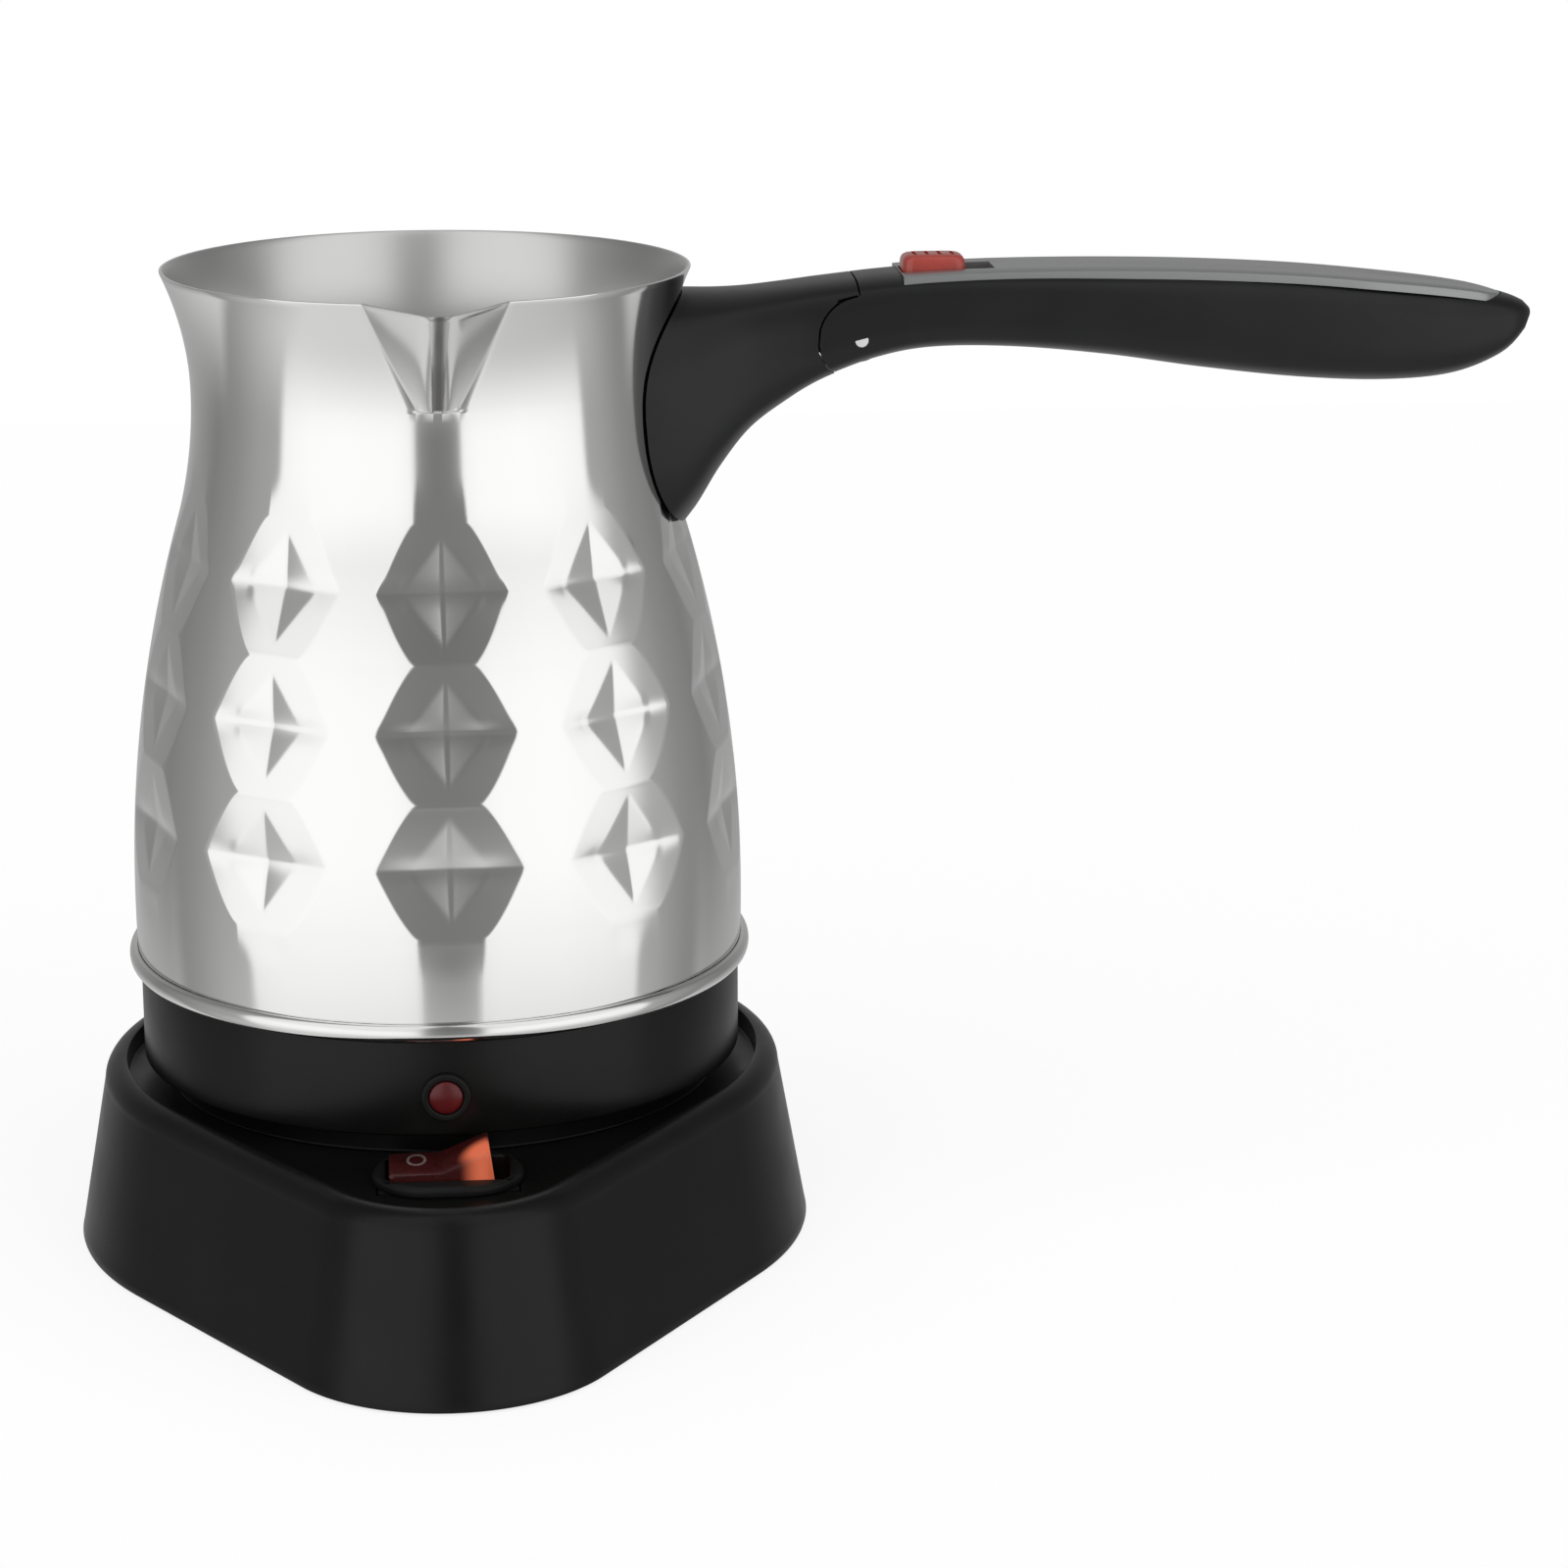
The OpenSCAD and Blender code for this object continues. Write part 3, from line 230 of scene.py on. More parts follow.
@dataclass(frozen=True)
class PaintedKeelReflectionFinish(Finish):
    """Steel with a painted dark reflection on a thin line along the spout's keel: darker colour
    and no mirror shine there.
    """

    # Painted dark reflection: a thin line along the spout's keel gets a darker colour and loses
    # its metallic shine, standing in for the dark band that the keel reflects.
    painted_reflection_turn: float = 1.7
    painted_reflection_foot: float = 150.7
    painted_reflection_line: float = 0.2
    painted_reflection_w: float = 1.6
    painted_reflection_rise: float = 0.3
    painted_reflection_share: float = 0.95
    painted_reflection_colour: Colour = (0.17, 0.17, 0.168)

    def painted_reflection(self, graph: Graph, spot: Socket) -> Socket:
        """Gives how much of the painted dark reflection along the keel shows.

        Args:
            graph: Graph of the material.
            spot: Coordinates in millimetres.

        Returns:
            A value from 0 on the plain steel to the painted reflection's share on its line.
        """
        axes = graph.axes(spot)
        turn = graph.math("DIVIDE", axes[0], TURN_SCALE)
        off = graph.math("ABSOLUTE", graph.math("SUBTRACT", turn, math.radians(self.painted_reflection_turn)))
        near = graph.spread(graph.math("MULTIPLY", off, axes[1]), self.painted_reflection_line, self.painted_reflection_w,
                            1.0, 0.0, soft=True)
        above = graph.spread(axes[2], self.painted_reflection_foot, self.painted_reflection_foot + self.painted_reflection_rise, 0.0,
                             self.painted_reflection_share)
        return graph.math("MULTIPLY", near, above)

    def colours(self, graph: Graph, spot: Socket) -> Socket:
        """Gives the colour with the painted dark reflection line along the keel."""
        steel = super().colours(graph, spot)
        return graph.blend(self.painted_reflection(graph, spot), steel, [*self.painted_reflection_colour, 1.0])

    def dress(self, graph: Graph, shader: bpy.types.Node) -> None:
        """Takes the mirror shine away on the painted dark reflection line."""
        bright = graph.math("SUBTRACT", 1.0, self.painted_reflection(graph, self.place(graph)))
        graph.tree.links.new(bright, shader.inputs["Metallic"])


@dataclass(frozen=True)
class ClearFinish(Finish):
    """A clear or translucent finish."""

    clearness: float = 0.5
    bend: float = 1.49

    def dress(self, graph: Graph, shader: bpy.types.Node) -> None:
        """Lets light through the piece."""
        shader.inputs["Transmission Weight"].default_value = self.clearness
        shader.inputs["IOR"].default_value = self.bend


@dataclass(frozen=True)
class RockerFinish(ClearFinish):
    """Red clear plastic with a pale ring mark on one end and painted light on the raised other
    end.
    """

    mark_at: tuple[float, float] = (-5.05, -57.8)
    mark_squeeze: float = 0.62
    mark_r: float = 1.4
    mark_w: float = 0.34
    mark_edge: float = 0.1
    mark_colour: Colour = (0.34, 0.27, 0.27)
    # Painted light: an orange emitting patch on the raised end stands in for the light that falls
    # on it; glow is the colour of this painted light.
    painted_light_at: tuple[float, float] = (5.4, -61.8)
    painted_light_squeeze: float = 0.7
    painted_light_core: float = 0.3
    painted_light_r: float = 4.2
    painted_light_strength: float = 0.75
    glow: Colour = (0.85, 0.19, 0.09)

    def reach(self, graph: Graph, spot: Socket, middle: tuple[float, float],
              squeeze: float) -> Socket:
        """Gives the distance from a point on the rocker.

        Args:
            graph: Graph of the material.
            spot: Coordinates in millimetres.
            middle: Place of the point along X and Y.
            squeeze: How much of the distance along Y counts.

        Returns:
            The distance in millimetres.
        """
        side, deep = [graph.math("SUBTRACT", axis, at)
                      for axis, at in zip(graph.axes(spot), middle)]
        return graph.length(side, graph.math("MULTIPLY", deep, squeeze))

    def colours(self, graph: Graph, spot: Socket) -> Socket:
        """Gives the red with the pale ring drawn on it.

        Args:
            graph: Graph of the material.
            spot: Coordinates in millimetres.

        Returns:
            A colour socket.
        """
        reach = self.reach(graph, spot, self.mark_at, self.mark_squeeze)
        off = graph.math("ABSOLUTE", graph.math("SUBTRACT", reach, self.mark_r))
        half = self.mark_w / 2
        ring = graph.spread(off, half, half + self.mark_edge, 1.0, 0.0)
        return graph.blend(ring, super().colours(graph, spot), [*self.mark_colour, 1.0])

    def dress(self, graph: Graph, shader: bpy.types.Node) -> None:
        """Lets light through and paints light on the raised end as an orange emission."""
        super().dress(graph, shader)
        # The emission is painted light on the raised end, not a lamp inside the rocker.
        reach = self.reach(graph, self.place(graph), self.painted_light_at, self.painted_light_squeeze)
        painted_light = graph.spread(reach, self.painted_light_r * self.painted_light_core, self.painted_light_r, self.painted_light_strength, 0.0,
                           soft=True)
        shader.inputs["Emission Color"].default_value = (*self.glow, 1.0)
        graph.tree.links.new(painted_light, shader.inputs["Emission Strength"])


@cache
def material_of(finish: Finish) -> bpy.types.Material:
    """Gives a finish's material, which is made once."""
    return finish.material()


BODY_STEEL = Finish("satin_steel", (0.90, 0.90, 0.89), 0.10, 0.02, 0.01, 30, 0.5, 0.0012,
                    Grain.TURNED, 1.0)
# Body steel with the painted dark reflection along the spout's keel.
STEEL_WITH_PAINTED_REFLECTION = PaintedKeelReflectionFinish("steel_painted_reflection", (0.90, 0.90, 0.89), 0.10, 0.02, 0.01, 30, 0.5, 0.0012,
                            Grain.TURNED, 1.0)
INNER_STEEL = Finish("matt_steel", (0.74, 0.74, 0.73), 0.33, 0.03, 0.02, 24, 0.5, 0.002,
                     Grain.TURNED, 1.0)
RING_STEEL = Finish("bright_steel", (0.86, 0.86, 0.85), 0.11, 0.02, 0.02, 20, 0.4, 0.001,
                    Grain.TURNED, 1.0)
PIN_STEEL = Finish("pin_steel", (0.95, 0.95, 0.94), 0.5, 0.05, 0.02, 3, 0.3, 0.001,
                   Grain.EVEN, 1.0)
WORKED_STEEL = Finish("worked_steel", (0.66, 0.66, 0.65), 0.3, 0.08, 0.06, 4, 0.3, 0.004,
                      Grain.EVEN, 1.0)
BLACK = Finish("black_plastic", (0.0048, 0.0056, 0.0047), 0.30, 0.03, 0.2, 14, 0.28, 0.005,
               specular=0.25)
# Painted light: the base's black plastic with a lighter colour for the handle, standing in for the
# light on its top.
HANDLE_BLACK_PAINTED_LIGHT = Finish("handle_plastic_painted_light", (0.0085, 0.0095, 0.0088), 0.33, 0.03, 0.2, 14, 0.28,
                      0.005, specular=0.35)
DARK = Finish("connector_plastic", (0.009, 0.0095, 0.009), 0.42, 0.05, 0.15, 8, 0.3, 0.006,
              specular=0.2)
TRIM_GREY = Finish("grey_plastic", (0.36, 0.365, 0.365), 0.3, 0.05, 0.06, 10, 0.25, 0.003,
                   Grain.DRAWN, 0.6)
RED = Finish("red_plastic", (0.55, 0.075, 0.055), 0.3, 0.05, 0.08, 4, 0.3, 0.004, coat=0.3)
RUBBER = Finish("foot_rubber", (0.03, 0.03, 0.03), 0.75, 0.08, 0.2, 4, 0.25, 0.012,
                specular=0.2)
GASKET = Finish("gasket_rubber", (0.45, 0.12, 0.08), 0.6, 0.06, 0.15, 5, 0.3, 0.01)
BRASS = Finish("contact_brass", (0.80, 0.60, 0.25), 0.25, 0.06, 0.08, 3, 0.25, 0.003,
               metallic=1.0)
ALUMINIUM = Finish("cast_aluminium", (0.74, 0.75, 0.77), 0.4, 0.08, 0.06, 6, 0.5, 0.012,
                   metallic=1.0)
ELEMENT = Finish("element_steel", (0.40, 0.38, 0.35), 0.42, 0.1, 0.2, 5, 0.4, 0.008,
                 metallic=1.0)
CERAMIC = Finish("pale_ceramic", (0.70, 0.67, 0.58), 0.55, 0.08, 0.08, 3, 0.3, 0.008)
SLEEVE = Finish("lead_sleeve", (0.50, 0.16, 0.10), 0.55, 0.06, 0.25, 3, 0.4, 0.02)
GLASS = ClearFinish("bulb_glass", (0.95, 0.62, 0.45), 0.06, 0.02, 0.03, 2, 0.4, 0.001,
                    clearness=0.8)
LENS_RED = ClearFinish("lens_red", (0.17, 0.012, 0.014), 0.3, 0.03, 0.1, 2, 0.4, 0.002,
                       clearness=0.25)
# Rocker red with painted light on its raised end.
ROCKER_RED = RockerFinish("rocker_red", (0.075, 0.008, 0.008), 0.3, 0.04, 0.15, 3, 0.3, 0.003,
                          clearness=0.2)


# ---- meshes


def ring_faces(rows: int, columns: int, loop_rows: bool = False) -> list[tuple[int, ...]]:
    """Joins rows of points that each go round once.

    Args:
        rows: Number of rows.
        columns: Points in a row.
        loop_rows: Whether the last row joins the first.

    Returns:
        Four-sided faces.
    """
    faces = []
    for row in range(rows if loop_rows else rows - 1):
        upper = (row + 1) % rows
        for column in range(columns):
            after = (column + 1) % columns
            faces.append((row * columns + column, row * columns + after,
                          upper * columns + after, upper * columns + column))
    return faces


def loft(rings: Sequence, looped: bool = False) -> Shape:
    """Joins rings of points that all have the same number of points.

    Args:
        rings: The rings, one after the other.
        looped: Whether the last ring joins the first, or else both ends are closed.

    Returns:
        Points and faces.
    """
    rows, columns = len(rings), len(rings[0])
    ends = [] if looped else [tuple(range(columns))[::-1],
                              tuple(range((rows - 1) * columns, rows * columns))]
    return np.array(rings, float).reshape(-1, 3), ends + ring_faces(rows, columns, looped)


def add_object(name: str, data: bpy.types.ID) -> Piece:
    """Makes an object of its data and puts it into the scene."""
    piece = bpy.data.objects.new(name, data)
    bpy.context.scene.collection.objects.link(piece)
    return piece


def make(name: str, points: np.ndarray | list, faces: Iterable[Sequence[int]], finish: Finish,
         crease: float = 32.0) -> Piece:
    """Makes an object of points in millimetres.

    Args:
        name: Name of the piece.
        points: Its points.
        faces: Its faces, as numbers of points.
        finish: Its finish.
        crease: Angle in degrees above which an edge is sharp.

    Returns:
        The new object.
    """
    mesh = bpy.data.meshes.new(name)
    mesh.from_pydata((np.asarray(points, float) * MM).tolist(), [], [list(f) for f in faces])
    mesh.update()
    piece = add_object(name, mesh)
    mesh.materials.append(material_of(finish))
    shade(piece, crease)
    return piece


def shade(piece: Piece, crease: float) -> None:
    """Shades a piece smooth, but for edges above the crease's angle in degrees."""
    piece.data.polygons.foreach_set("use_smooth", [True] * len(piece.data.polygons))
    piece.data.set_sharp_from_angle(angle=math.radians(crease))


def fillet(corners: Sequence[tuple[float, float, float]], steps: int = 5,
           closed: bool = True) -> Profile:
    """Rounds the corners of a flat outline.

    Args:
        corners: Points with the radius of each one's rounding.
        steps: Points of each rounding, less one.
        closed: Whether the last corner joins the first.

    Returns:
        The rounded outline.
    """
    outline: Profile = []
    count = len(corners)
    for index, (x, y, radius) in enumerate(corners):
        here = Vector((x, y))
        if radius <= 0 or (not closed and index in (0, count - 1)):
            outline.append((x, y))
            continue
        before = Vector(corners[index - 1][:2]) - here
        after = Vector(corners[(index + 1) % count][:2]) - here
        half = before.angle(after) / 2
        reach = min(radius / math.tan(half), before.length * 0.49, after.length * 0.49)
        start = here + before.normalized() * reach
        end = here + after.normalized() * reach
        for step in range(steps + 1):
            share = step / steps
            point = start.lerp(here, share).lerp(here.lerp(end, share), share)
            outline.append((point.x, point.y))
    return outline


def lathe(profile: Profile, turns: int = 192, axis: Point = (0, 0, 1),
          centre: Point = (0, 0, 0)) -> Shape:
    """Turns a closed profile round an axis.

    Args:
        profile: Radii and heights, upwards on the outside.
        turns: Number of steps round the axis.
        axis: Direction of the axis.
        centre: Point on it that heights count from.

    Returns:
        Points and faces.
    """
    along = Vector(axis).normalized()
    side = along.orthogonal().normalized()
    other = along.cross(side)
    angles = np.linspace(0, 2 * math.pi, turns, endpoint=False)
    radii, heights = np.array(profile).T
    spokes = np.outer(np.cos(angles), side) + np.outer(np.sin(angles), other)
    points = (radii[:, None, None] * spokes[None] + heights[:, None, None] * np.array(along)
              + np.array(centre, float))
    return points.reshape(-1, 3), ring_faces(len(profile), turns, loop_rows=True)


def box(low: Point, high: Point) -> Shape:
    """Makes a plain box between its lowest and its highest corner."""
    corners = ((low[0], low[1]), (high[0], low[1]), (high[0], high[1]), (low[0], high[1]))
    return loft([[(x, y, z) for x, y in corners] for z in (low[2], high[2])])


def rod(centre: Point, axis: Point, radius: float, length: float, turns: int = 48) -> Shape:
    """Makes a plain rod from the middle of one end along an axis."""
    points, _ = lathe([(radius, 0.0), (radius, length)], turns, axis, centre)
    return loft(points.reshape(2, turns, 3))


def combine(piece: Piece, shapes: Iterable[Shape], operation: str = "DIFFERENCE",
            crease: float = 32.0) -> None:
    """Cuts shapes out of a piece or adds them to it.

    Args:
        piece: The object that changes.
        shapes: Points and faces of each shape.
        operation: Name of the solid operation.
        crease: Angle in degrees above which an edge is sharp.
    """
    for points, faces in shapes:
        tool = make("tool", points, faces, DARK)
        change = piece.modifiers.new("change", "BOOLEAN")
        change.object, change.operation, change.solver = tool, operation, "EXACT"
        bpy.context.view_layer.update()
        view = piece.evaluated_get(bpy.context.evaluated_depsgraph_get())
        mesh = bpy.data.meshes.new_from_object(view)
        piece.modifiers.clear()
        piece.data = mesh
        bpy.data.objects.remove(tool)
    material = piece.data.materials[0]
    piece.data.materials.clear()
    piece.data.materials.append(material)
    shade(piece, crease)


def settle(piece: Piece, body: str, slot: str, *nodes: str) -> None:
    """Hands a finished piece over to the frame.

    Args:
        piece: The piece.
        body: Body that it rides on.
        slot: Material slot of its finish; not used.
        nodes: CAD nodes that it stands for.
    """
    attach(piece, body)
    if nodes:
        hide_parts(*nodes)
    log.info("%s rides on %s with %d faces", piece.name, body, len(piece.data.polygons))


# ---- pot


@dataclass
class Wall:
    """The pot's wall in profile: belly, waist and flare arcs."""

    belly_r: float = 52.2
    belly_h: float = 60.0
    belly_curve: float = 231.0
    waist_r: float = 39.6
    waist_h: float = 147.0
    flare_curve: float = 50.0
    rim_h: float = 168.0

    def radius(self, height: np.ndarray | float) -> np.ndarray:
        """Gives the wall's radius.

        Args:
            height: Height or heights above the table.

        Returns:
            Radius at each height.
        """
        z = np.asarray(height, float)
        middle = self.belly_r - self.belly_curve
        rise, inward = self.waist_h - self.belly_h, self.waist_r - middle
        waist_curve = ((inward ** 2 + rise ** 2 - self.belly_curve ** 2)
                       / (2 * (self.belly_curve - inward)))
        tangent = self.belly_h + rise * self.belly_curve / (self.belly_curve + waist_curve)
        off = z - self.waist_h
        belly = middle + np.sqrt(np.maximum(0, self.belly_curve ** 2 - (z - self.belly_h) ** 2))
        waist = self.waist_r + waist_curve - np.sqrt(np.maximum(0, waist_curve ** 2 - off ** 2))
        flare = (self.waist_r + self.flare_curve
                 - np.sqrt(np.maximum(0, self.flare_curve ** 2 - off ** 2)))
        return np.where(z < tangent, belly, np.where(z < self.waist_h, waist, flare))


@dataclass
class PotShell:
    """Steel wall with columns of pressed diamonds, a star in each, and a folded spout."""

    wall: Wall = field(default_factory=Wall)
    foot_h: float = 51.3
    sheet: float = 0.8
    columns: int = 10
    rows: int = 3
    diamond_h: float = 22.0
    pattern_foot: float = 66.4
    diamond_half: float = 13.8
    neck_half: float = 5.5
    edge_curve: float = 0.72
    fade_h: float = 7.0
    steps: int = 18
    gaps: tuple[float, ...] = (0.035, 0.09, 0.18, 0.32, 0.5, 0.68, 0.82, 0.91, 0.965)
    front_turn: float = 1.7
    flat_depth: float = 0.78
    star_half_w: float = 6.8
    star_half_h: float = 8.7
    star_depth: float = 0.55
    arm_depth: float = 0.22
    arm_h: float = 1.6
    arm_reach: float = 11.4
    spout_foot_h: float = 150.8
    spout_blend: float = 1.0
    spout_reach: float = 13.3
    spout_half: float = 11.6
    spout_foot_half: float = 3.6
    spout_foot_reach: float = 3.0
    spout_bow: float = 1.6
    blend_power: float = 1.7
    keel_r: float = 0.9
    keel_half: float = 1.0
    keel_curve: float = 5.5

    @property
    def pattern_top(self) -> float:
        """Height of the pattern's upper end."""
        return self.pattern_foot + self.rows * self.diamond_h

    def column_places(self) -> list[tuple[int, float, float]]:
        """Lists the columns of points round the wall.

        Returns:
            For each, its sector, its place across the diamond and its share of the gap.
        """
        across = [k / self.steps - 1 for k in range(2 * self.steps + 1)]
        return [(sector, place, gap) for sector in range(self.columns)
                for place, gap in [(u, 0.0) for u in across] + [(1.0, g) for g in self.gaps]]

    def row_place(self, height: float) -> float:
        """Gives the height above the nearest diamond's middle, in millimetres."""
        row = (height - self.pattern_foot) / self.diamond_h
        return (row - math.floor(row) - 0.5) * self.diamond_h

    def flat_half(self, height: float) -> float:
        """Gives half the angle of a column's flat at a height."""
        if not self.pattern_foot < height < self.pattern_top:
            return self.neck_half
        up = abs(self.row_place(height)) * 2 / self.diamond_h
        wide = (1 - up) ** self.edge_curve
        return self.neck_half + (self.diamond_half - self.neck_half) * wide

    def half_angle(self, sector: int, height: float) -> float:
        """Gives half the angle of a column of points, or of the spout above it."""
        if sector % self.columns or height <= self.pattern_top:
            return self.flat_half(height)
        start = self.spout_foot_h - self.spout_blend
        narrow = math.degrees(math.asin(self.spout_w(height) / float(self.wall.radius(height))))
        share = min(1.0, (height - self.pattern_top) / (start - self.pattern_top))
        return self.neck_half + (narrow - self.neck_half) * share

    def spout_share(self, height: float) -> float:
        """Gives how far up the spout a height is, from 0 to 1."""
        share = (height - self.spout_foot_h) / (self.wall.rim_h - self.spout_foot_h)
        return max(0.0, share)

    def spout_w(self, height: float) -> float:
        """Gives half the spout's width."""
        share = self.spout_share(height)
        bow = self.spout_bow * share * (1 - share)
        return self.spout_foot_half + (self.spout_half - self.spout_foot_half) * share + bow

    def spout_d(self, height: float) -> float:
        """Gives how far the spout's keel stands out of the wall."""
        if height >= self.spout_foot_h:
            return (self.spout_foot_reach
                    + (self.spout_reach - self.spout_foot_reach) * self.spout_share(height))
        low = (height - self.spout_foot_h + self.spout_blend) / self.spout_blend
        return self.spout_foot_reach * max(0.0, low) ** self.blend_power

    def press(self, height: float, across: float) -> float:
        """Gives the depth of the pressed pattern.

        Args:
            height: Height above the table.
            across: Place across the flat, from -1 to 1.

        Returns:
            Depth below the plain wall.
        """
        radius = float(self.wall.radius(height))
        half = math.radians(self.flat_half(height))
        beyond = max(self.pattern_foot - height, height - self.pattern_top, 0.0)
        share = min(1.0, beyond / self.fade_h)
        stay = 1 - share * share * (3 - 2 * share)
        chord = radius * (1 - math.cos(half) / math.cos(half * across))
        flat = chord * self.flat_depth * stay
        if beyond > 0:
            return flat
        off = self.row_place(height)
        side = (radius - flat) * math.sin(half * abs(across))
        star = max(0.0, 1 - side / self.star_half_w - abs(off) / self.star_half_h)
        past = (side - self.star_half_w) / (self.arm_reach - self.star_half_w)
        tail = 1 - min(1.0, max(0.0, past))
        arm = min(1.0, side / self.star_half_w) * tail
        trough = math.exp(-(off / self.arm_h) ** 2) * arm
        return flat + star * self.star_depth + trough * self.arm_depth

    def ring(self, height: float, inset: float) -> np.ndarray:
        """Gives one ring of points.

        Args:
            height: Height above the table.
            inset: Distance inside the outer face.

        Returns:
            Points of the ring.
        """
        radius = float(self.wall.radius(min(height, self.wall.rim_h)))
        reach = self.spout_d(height)
        points = []
        for sector, across, gap in self.column_places():
            half = self.half_angle(sector, height)
            turn = self.front_turn + sector * 360 / self.columns + across * half
            if gap:
                turn += gap * (360 / self.columns - half - self.half_angle(sector + 1, height))
            angle = math.radians(turn)
            if sector == 0 and not gap and reach > 0:
                edge = math.radians(half)
                side = (radius - inset) * math.sin(edge)
                keel, strip = self.keel_r / side, self.keel_half / side
                past = max(0.0, abs(across) - strip)
                fall = (math.hypot(past, keel) - keel) / (math.hypot(1 - strip, keel) - keel)
                tip = radius + reach - inset
                deep = tip * (1 - fall) + (radius - inset) * math.cos(edge) * fall
                deep -= min(abs(across) * side, self.keel_half) ** 2 / (2 * self.keel_curve)
                aside = side * across
                about = math.radians(self.front_turn)
                points.append((aside * math.cos(about) + deep * math.sin(about),
                               aside * math.sin(about) - deep * math.cos(about), height))
                continue
            far = radius - inset - (0.0 if gap else self.press(height, across))
            points.append((far * math.sin(angle), -far * math.cos(angle), height))
        return np.array(points)

    def heights(self) -> list[float]:
        """Lists the heights of the outer rings, from the foot to just under the rim."""
        top = self.wall.rim_h
        start = self.spout_foot_h - self.spout_blend
        pattern = np.linspace(self.pattern_foot, self.pattern_top,
                              self.rows * 2 * self.steps + 1)
        return [*np.linspace(self.foot_h, self.pattern_foot, 13)[:-1], *pattern,
                *np.linspace(self.pattern_top, start, 13)[1:],
                *np.linspace(start, self.spout_foot_h, 7)[1:],
                *np.linspace(self.spout_foot_h, top - 0.25, 21)[1:]]

    def build(self) -> None:
        """Builds the shell: the outer face, the rim and the inner face."""
        outer = self.heights()
        top = self.wall.rim_h
        rim = [(top - 0.08, 0.08), (top, 0.28), (top, self.sheet - 0.28),
               (top - 0.08, self.sheet - 0.08)]
        inner = [z for k, z in enumerate(outer) if k % 3 == 0 or z > self.pattern_top][::-1]
        rings = ([self.ring(z, 0.0) for z in outer] + [self.ring(z, t) for z, t in rim]
                 + [self.ring(z, self.sheet) for z in inner])
        piece = make("pot_shell", *loft(rings, looped=True), STEEL_WITH_PAINTED_REFLECTION, crease=28)
        piece.data.materials.append(material_of(INNER_STEEL))
        outside = (len(outer) + len(rim) // 2) * len(rings[0])
        for face in piece.data.polygons:
            face.material_index = int(face.index >= outside)
        settle(piece, "pot", "body_steel", "pot_body")


@dataclass
class Collar:
    """Black collar under the pot with the bright ring above it."""

    radius: float = 51.6
    wall: float = 2.2
    foot_h: float = 32.8
    top_h: float = 49.05
    flange_t: float = 2.2
    flange_r: float = 45.0
    ring_r: float = 53.5
    ring_foot: float = 49.15
    ring_top: float = 52.2
    ring_in: float = 52.16
    ring_lap: float = 1.05
    bead_share: float = 0.8
    bead_power: float = 0.8
    lamp_h: float = 39.6
    lamp_hole_r: float = 3.7

    def build(self) -> None:
        """Builds the collar and the seam ring."""
        low, high, out = self.foot_h, self.top_h, self.radius
        inner = out - self.wall
        profile = fillet([(out, low, 0.5), (out, high, 0.25), (self.flange_r, high, 0.1),
                          (self.flange_r, high - self.flange_t, 0.1),
                          (inner, high - self.flange_t, 0.3), (inner, low, 0.3)])
        collar = make("pot_collar_skin", *lathe(profile, 256), BLACK)
        combine(collar, [rod((0, 0, self.lamp_h), (0, -1, 0), self.lamp_hole_r, 60)])
        settle(collar, "pot", "black_plastic", "pot_collar")
        out, low, high = self.ring_r, self.ring_foot, self.ring_top
        middle, rise = (low + high) / 2, (high - low) / 2
        deep, lap = (out - self.ring_in) * self.bead_share, low + self.ring_lap
        bead = [(out - deep * (1 - math.cos(a) ** self.bead_power), middle + rise * math.sin(a))
                for a in np.linspace(-math.pi / 2, math.pi / 2, 25)]
        profile = bead + [(self.ring_in, high - 0.1), (self.ring_in, lap), (out - 4, lap),
                          (out - 4, low)]
        ring = make("seam_ring_skin", *lathe(profile, 256), RING_STEEL, crease=50)
        settle(ring, "pot", "ring_steel", "seam_ring")


@dataclass
class PilotLamp:
    """Red lens in a black bezel on the front of the collar."""

    height: float = 39.6
    face: float = 51.6
    lens_r: float = 2.8
    lens_foot: float = 4.0
    dome_foot: float = 0.5
    dome_rise: float = 0.75
    ring_r: float = 4.15
    ring_rise: float = 0.95
    barrel: float = 5.5
    barrel_wall: float = 0.6

    def build(self) -> None:
        """Builds the bezel and the lens."""
        face, axis, centre = self.face, (0, -1, 0), (0, 0, self.height)
        hole, outer = self.lens_r + 0.1, self.lens_r + self.barrel_wall
        front, back = face + self.ring_rise, face - self.barrel
        profile = fillet([(self.ring_r, face + 0.05, 0.1), (self.ring_r - 0.2, front, 0.4),
                          (hole, front, 0.3), (hole, back, 0.1), (outer, back, 0.1),
                          (outer, face + 0.05, 0.0)], 5)
        bezel = make("lamp_bezel_ring", *lathe(profile, 96, axis, centre), DARK)
        settle(bezel, "pot", "black_plastic", "lamp_bezel")
        foot, tip = face - self.lens_foot, face + self.dome_foot + self.dome_rise
        dome = [(self.lens_r * math.cos(a), face + self.dome_foot + self.dome_rise * math.sin(a))
                for a in np.linspace(0, math.pi / 2, 10)[:-1]]
        profile = [(self.lens_r, foot), *dome, (0.05, tip), (0.05, foot)]
        lens = make("lamp_lens_dome", *lathe(profile, 96, axis, centre), LENS_RED, crease=60)
        settle(lens, "pot", "red_clear_plastic", "lamp_lens")


# ---- base


